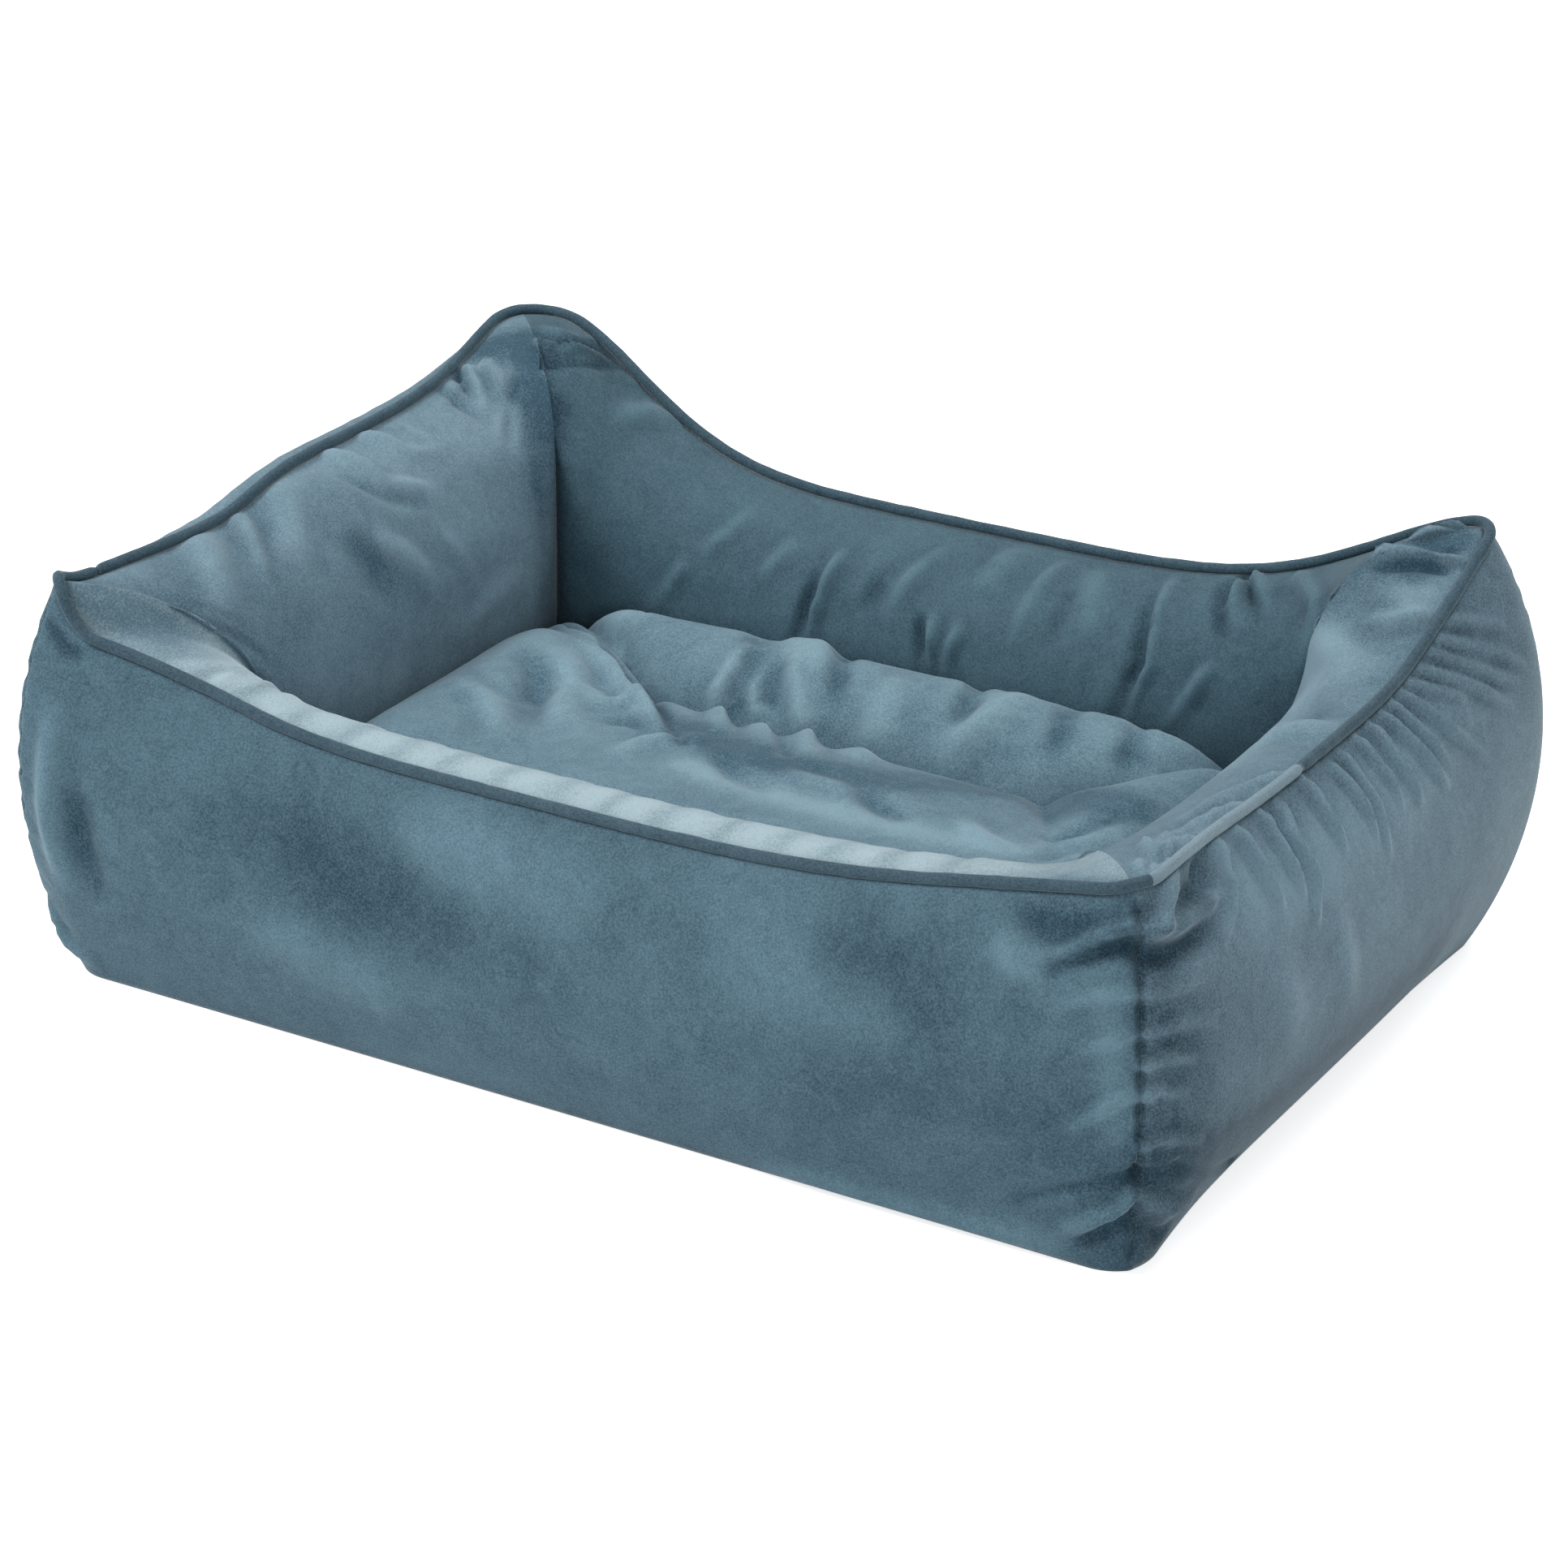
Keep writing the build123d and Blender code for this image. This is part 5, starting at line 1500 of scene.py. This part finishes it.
@dataclass
class Cushion:
    """A loose stuffed cushion, fuller than its nest, so that it stands up in four lobes."""

    half_length: float = 276.5 * MM
    half_depth: float = 160.5 * MM
    draw_in: float = 8 * MM
    seam_height: float = 50 * MM
    foot_height: float = 4.7 * MM
    edge_share: float = 0.74
    edge_power: float = 3.4
    corner_norm: float = 7.0
    edge_rows: int = 12
    inner_rows: tuple = (44, 26)
    valley_start: tuple = (-125 * MM, 60 * MM)
    valley_end: tuple = (150 * MM, 48 * MM)
    valley_height: float = 84 * MM
    corner_height: float = 136 * MM
    crest_height: float = 144 * MM
    front_drop: float = 7 * MM
    front_lobe_edge: float = 50 * MM
    front_lobe_shares: tuple = (0.6, 0.22)
    valley_reach: float = 185 * MM
    crease_soft: float = 30 * MM
    spare_share: float = 0.03
    swell: float = 3.5 * MM
    cloth_thickness: float = 1.4 * MM
    stuffing_gap: float = 5 * MM

    def shares(self, inner: int) -> np.ndarray:
        """Places of the grid lines between the middle and one edge, as shares."""
        turn = np.linspace(0, math.pi / 2, self.edge_rows + 1)
        edge = 1 - (1 - self.edge_share) * (1 - np.cos(turn))
        inside = np.linspace(0, self.edge_share, inner + 1)[:-1]
        half = np.concatenate([inside, edge[::-1]])
        return np.concatenate([-half[:0:-1], half])

    def rise(self, share: np.ndarray) -> np.ndarray:
        """How much of the full height the cushion has at a share of the way out."""
        past = np.clip((share - self.edge_share) / (1 - self.edge_share), 0, 1)
        return np.maximum(1 - past**self.edge_power, 0) ** (1 / self.edge_power)

    def crown(self, x: np.ndarray, y: np.ndarray) -> np.ndarray:
        """Height of the four lobes and the creases between them.

        Args:
            x: places along the cushion.
            y: places across it.

        Returns:
            Height of its top at each place.
        """
        start, end = np.array(self.valley_start), np.array(self.valley_end)
        corner = np.array([self.half_length, self.half_depth]) - 4 * MM
        corners = [corner * signs for signs in ((-1, 1), (-1, -1), (1, -1), (1, 1))]
        place = np.stack([x, y], axis=-1)

        def gap(a: np.ndarray, b: np.ndarray) -> np.ndarray:
            """Distance of each place from the line between a and b."""
            run = b - a
            share = np.clip(((place - a) @ run) / (run @ run), 0, 1)
            return np.linalg.norm(place - a - share[..., None] * run, axis=-1)

        valley = gap(start, end)
        creases = np.stack([valley, gap(start, corners[0]), gap(start, corners[1]) + self.crease_soft,
                            gap(end, corners[2]) + self.crease_soft / 3, gap(end, corners[3])])
        near = creases.min(axis=0)
        edge = np.minimum(self.half_length - np.abs(x), self.half_depth - np.abs(y))
        share = near / np.maximum(near + np.maximum(edge, 0), 1e-6)
        midway = 1 - smooth_share(np.abs(x), 130 * MM, 240 * MM)
        front = smooth_share(self.front_lobe_edge - y, 0, 60 * MM) * midway
        crest_place = self.front_lobe_shares[0] - self.front_lobe_shares[1] * front
        crest = self.crest_height - self.front_drop * front
        up = np.sqrt(np.maximum(1 - (1 - np.clip(share / crest_place, 0, 1)) ** 2, 0))
        climb = np.clip(valley / self.valley_reach, 0, 1) ** 1.1
        low = self.valley_height + (self.corner_height - self.valley_height) * climb
        return low + (crest - low) * up

    def lay_out(self) -> tuple:
        """Lay out the closed cushion.

        Returns:
            Its vertices, its faces, the shape of its grid and which of the top's vertices lie on the seam.
        """
        along, across = self.shares(self.inner_rows[0]), self.shares(self.inner_rows[1])
        u, v = np.meshgrid(along, across, indexing="ij")
        reach = np.maximum(np.abs(u), np.abs(v))
        norm = (np.abs(u) ** self.corner_norm + np.abs(v) ** self.corner_norm) ** (1 / self.corner_norm)
        squeeze = np.where(norm > 0, reach / np.maximum(norm, 1e-9), 1)
        x = self.half_length * u * squeeze
        drawn = self.draw_in * (1 - smooth_share(np.abs(u * squeeze), 0.74, 0.93))
        y = (self.half_depth - drawn) * v * squeeze
        rise = self.rise(reach)
        top = self.seam_height + (self.crown(x, y) - self.seam_height) * rise
        under = self.seam_height - (self.seam_height - self.foot_height) * np.minimum(1, rise * 1.25)
        count, wide = x.shape
        rim = (np.arange(count)[:, None] % (count - 1) == 0) | (np.arange(wide)[None] % (wide - 1) == 0)
        upper = np.stack([x, y, top], axis=-1).reshape(-1, 3)
        lower = np.stack([x, y, under], axis=-1).reshape(-1, 3)
        number = np.where(rim.ravel(), np.arange(count * wide), -1)
        spare = np.flatnonzero(number < 0)
        number[spare] = count * wide + np.arange(len(spare))
        points = np.concatenate([upper, lower[spare]])
        faces: list = []
        for face in grid_faces(count, wide):
            faces += [face, tuple(int(number[k]) for k in face)[::-1]]
        return points, faces, (count, wide), rim.ravel()

    def build(self) -> None:
        """Lay out the closed cushion, let it settle, work its folds in with their painted light and shade,
        and dress it.
        """
        points, faces, (count, wide), rim = self.lay_out()
        points = self.settle(points, faces, count * wide, rim)
        normals = grid_normals(points[:count * wide].reshape(count, wide, 3), (False, False)).reshape(-1, 3)
        upper = points[:count * wide]
        lift = total_lift(CUSHION_FOLDS, upper) * ~rim
        # Painted shade in the cushion's fold hollows and painted highlights on its ridges, with its streaks'
        # painted light and shade and pile tone.
        pile_and_shading = np.full(len(points), 0.5)
        pile_and_shading[:len(upper)] = pile_and_shading_of(upper, lift, CUSHION_SHADING_AND_PILE_STREAKS)
        core = points.copy()
        core[:len(upper)] = upper + normals * np.minimum(lift, 0)[:, None]
        heights = np.pad(core[:len(upper), 2].reshape(count, wide), 1, mode="edge")
        around = [heights[i:i + count, j:j + wide] for i in range(3) for j in range(3)]
        core[:len(upper), 2] = np.min(around, axis=0).ravel()
        points[:len(upper)] = upper + normals * lift[:, None]
        self.cover("cushion_top_velvet", points, pile_and_shading, faces[::2], "cushion_top_cover")
        self.cover("cushion_underside_velvet", points, pile_and_shading, faces[1::2], "cushion_bottom_cover")
        self.filling(core, faces)

    def settle(self, points: np.ndarray, faces: list, upper: int, rim: np.ndarray) -> np.ndarray:
        """Let the cushion puff up between its seam and the floor.

        Args:
            points: vertices of the closed cushion.
            faces: its faces.
            upper: how many vertices its top and seam have.
            rim: which of those lie on the seam.

        Returns:
            The settled vertices.
        """
        held = np.ones(len(points))
        held[:upper] = rim
        ease = np.full(len(points), 1e-4)
        ease[:upper] = self.spare_share
        return relax_cloth(points, faces, held, ease, np.full(len(points), self.swell))

    def cover(self, name: str, points: np.ndarray, pile_and_shading: np.ndarray, faces: list, node: str) -> None:
        """Make and dress one half of the cover.

        Args:
            name: name of the piece.
            points: vertices of the whole cushion.
            pile_and_shading: painted light and shade with the pile tone at each of them.
            faces: the faces of this half.
            node: the CAD node that it replaces.
        """
        used = np.unique(np.array(faces))
        back = np.zeros(len(points), int)
        back[used] = np.arange(len(used))
        piece = mesh_object(name, points[used], [tuple(int(back[k]) for k in face) for face in faces])
        put_pile_and_shading(piece, pile_and_shading[used])
        divide = piece.modifiers.new("Divide", "SUBSURF")
        divide.levels = divide.render_levels = 1
        thicken(piece, self.cloth_thickness)
        dress(piece, Velvets.CUSHION, "velvet", "cushion", (node,))

    def filling(self, points: np.ndarray, faces: list) -> None:
        """Make and dress the fibre fill, just inside the covers."""
        piece = mesh_object("cushion_stuffing", points, faces)
        inside = points - vertex_rows(piece.data, "normal") * self.stuffing_gap
        piece.data.vertices.foreach_set("co", inside.astype(np.float32).ravel())
        piece.data.update()
        dress(piece, Stocks.FIBRE, "fibre_fill", "cushion", ("cushion_fill",))


# --- The zip ---------------------------------------------------------------------------------


@dataclass
class Zip:
    """The zip in the cushion's rear edge: its CAD shapes with their own finishes, teeth and stitches."""

    half_length: float = 200 * MM
    coil_depth: float = 154.9 * MM
    middle_height: float = 50 * MM
    coil_offset: float = 1.45 * MM
    coil_radius: float = 1.12 * MM
    tooth_spacing: float = 1.3 * MM
    tooth_width: float = 0.8 * MM
    tape_face: float = 155.3 * MM
    stitch_offset: float = 4.4 * MM
    stitch_spacing: float = 4.0 * MM
    stitch_length: float = 2.8 * MM
    thread_radius: float = 0.22 * MM

    @staticmethod
    def bead(length: float, radius: float, shoulder_share: float, tip_share: float) -> tuple:
        """Rings of a bead: full between its shoulders, and drawn in at its two tips."""
        half, tip = length / 2, tip_share * radius
        return (-half, tip), (-shoulder_share * half, radius), (shoulder_share * half, radius), (half, tip)

    def rows(self) -> None:
        """Wind the coils' teeth and sew the tapes, above and below the middle."""
        tree = row_group()
        tooth_rings = self.bead(self.tooth_width, self.coil_radius, 0.5, 0.72)
        stitch_rings = self.bead(self.stitch_length, self.thread_radius, 0.8, 0.4)
        for side, sign in (("upper", 1), ("lower", -1)):
            kinds = (
                ("teeth", tooth_rings, 10, self.coil_depth, self.coil_offset, self.tooth_spacing,
                 Stocks.COIL, "zip_coil"),
                ("stitches", stitch_rings, 6, self.tape_face, self.stitch_offset, self.stitch_spacing,
                 Stocks.THREAD, "zip_tape"),
            )
            for kind, rings, sides, depth, offset, spacing, finish, slot in kinds:
                piece = turned_piece(f"{side}_zip_{kind}", rings, sides, 0)
                height = self.middle_height + sign * offset
                end = self.half_length - spacing
                bake_nodes(piece, tree, {
                    "Start": (-end, depth, height), "End": (end, depth, height), "Spacing": spacing,
                    "Material": finish_of(finish),
                })
                dress(piece, finish, slot, "cushion")

    def build(self) -> None:
        """Dress the tapes, coils, stops, slider and pull, and add the teeth and stitches."""
        finishes = {
            "upper_zip_tape": Stocks.TAPE, "lower_zip_tape": Stocks.TAPE,
            "upper_zip_coil": Stocks.COIL, "lower_zip_coil": Stocks.COIL,
            "zip_end_stops": Stocks.METAL, "zip_slider": Stocks.METAL, "zip_pull": Stocks.METAL,
        }
        for name, choice in finishes.items():
            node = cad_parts[name]
            node.data.materials.clear()
            node.data.materials.append(finish_of(choice))
            LOG.info("%s: dressed as %s", name, choice.value.name)
        self.rows()


# --- The studio ------------------------------------------------------------------------------


def seen_or_not(tree: bpy.types.NodeTree, rays: str, unseen: bpy.types.NodeSocket,
                seen: bpy.types.NodeSocket) -> bpy.types.NodeSocket:
    """Mix two shaders: one for the camera's rays and one more kind, the other for all the rest.

    Args:
        tree: node tree that gets them.
        rays: the other kind of rays that sees what the camera sees.
        unseen: shader for the rest.
        seen: shader for the camera.

    Returns:
        The mixed shader.
    """
    path = add_node(tree, "ShaderNodeLightPath")
    share = add_node(tree, "ShaderNodeMath", {"operation": "ADD", "use_clamp": True},
                     {0: path.outputs["Is Camera Ray"], 1: path.outputs[rays]})
    return add_node(tree, "ShaderNodeMixShader",
                    links={0: share.outputs["Value"], 1: unseen, 2: seen}).outputs[0]


@dataclass
class Studio:
    """A pale sweep, soft lamps and a camera where the photograph was taken from."""

    camera_place: tuple = (1.2911, -2.1776, 1.2479)
    camera_pitch: float = 24.147
    camera_yaw: float = 30.743
    camera_roll: float = 0.149
    lens: float = 103.2
    floor_size: float = 12.0

    def build(self) -> None:
        """Set the camera, floor, lamps, world and view."""
        scene = bpy.context.scene
        data = bpy.data.cameras.new("photo_camera")
        data.lens = self.lens
        data.sensor_width = 36
        camera = bpy.data.objects.new("photo_camera", data)
        pitch, yaw = math.radians(self.camera_pitch), math.radians(self.camera_yaw)
        ahead = Vector((-math.sin(yaw) * math.cos(pitch), math.cos(yaw) * math.cos(pitch), -math.sin(pitch)))
        turn = ahead.to_track_quat("-Z", "Y") @ Euler((0, 0, math.radians(self.camera_roll))).to_quaternion()
        camera.location = self.camera_place
        camera.rotation_mode = "QUATERNION"
        camera.rotation_quaternion = turn
        scene.collection.objects.link(camera)
        scene.camera = camera
        half = self.floor_size / 2
        corners = np.array([(-half, -half, 0), (half, -half, 0), (half, half, 0), (-half, half, 0)])
        floor = mesh_object("studio_floor", corners, [(0, 1, 2, 3)])
        floor.data.materials.append(self.floor_paint())
        self.lamp("key_softbox", (-1.9, -1.3, 2.3), 1.1, 52)
        self.lamp("top_softbox", (0.7, 1.2, 2.6), 1.4, 34)
        self.lamp("fill_softbox", (1.7, -2.6, 1.1), 1.2, 16)
        self.surround(scene)
        scene.view_settings.view_transform = "Standard"

    @staticmethod
    def floor_paint() -> bpy.types.Material:
        """Matt white sweep: white to the camera, with the bed's soft shadow on it."""
        material, tree = new_material("matt_white_sweep")
        matt = add_node(tree, "ShaderNodeBsdfDiffuse", {"Color": linear("fbfbfb")})
        glow = add_node(tree, "ShaderNodeEmission", {"Color": (1, 1, 1, 1), "Strength": 0.7})
        both = add_node(tree, "ShaderNodeAddShader", links={0: matt.outputs[0], 1: glow.outputs[0]})
        mixed = seen_or_not(tree, "Is Glossy Ray", matt.outputs[0], both.outputs[0])
        add_node(tree, "ShaderNodeOutputMaterial", links={"Surface": mixed})
        return material

    @staticmethod
    def lamp(name: str, place: tuple, size: float, power: float) -> None:
        """Hang a square softbox aimed at the bed.

        Args:
            name: name of the lamp.
            place: where it hangs.
            size: length of its sides.
            power: its power in watts.
        """
        data = bpy.data.lights.new(name, "AREA")
        data.size = size
        data.energy = power
        lamp = bpy.data.objects.new(name, data)
        lamp.location = place
        aim = Vector((0, 0, 0.12)) - Vector(place)
        lamp.rotation_mode = "QUATERNION"
        lamp.rotation_quaternion = aim.to_track_quat("-Z", "Y")
        bpy.context.scene.collection.objects.link(lamp)

    @staticmethod
    def surround(scene: bpy.types.Scene) -> None:
        """Even studio light all round, and white behind the floor."""
        world = bpy.data.worlds.new("studio")
        scene.world = world
        world.use_nodes = True
        tree = world.node_tree
        tree.nodes.clear()
        light = add_node(tree, "ShaderNodeBackground", {"Color": (1, 1, 1, 1), "Strength": 0.28})
        white = add_node(tree, "ShaderNodeBackground", {"Color": (1, 1, 1, 1), "Strength": 1.0})
        mixed = seen_or_not(tree, "Is Transmission Ray", light.outputs[0], white.outputs[0])
        add_node(tree, "ShaderNodeOutputWorld", links={"Surface": mixed})


def main() -> None:
    """Build the bed piece by piece, then the studio."""
    logging.basicConfig(level=logging.INFO, format="%(name)s %(message)s")
    Studio().build()
    bolster = Bolster()
    bolster.build()
    bolster.dress()
    Piping(bolster).build()
    Floor().build()
    Cushion().build()
    Zip().build()


if __name__ == "__main__":
    main()
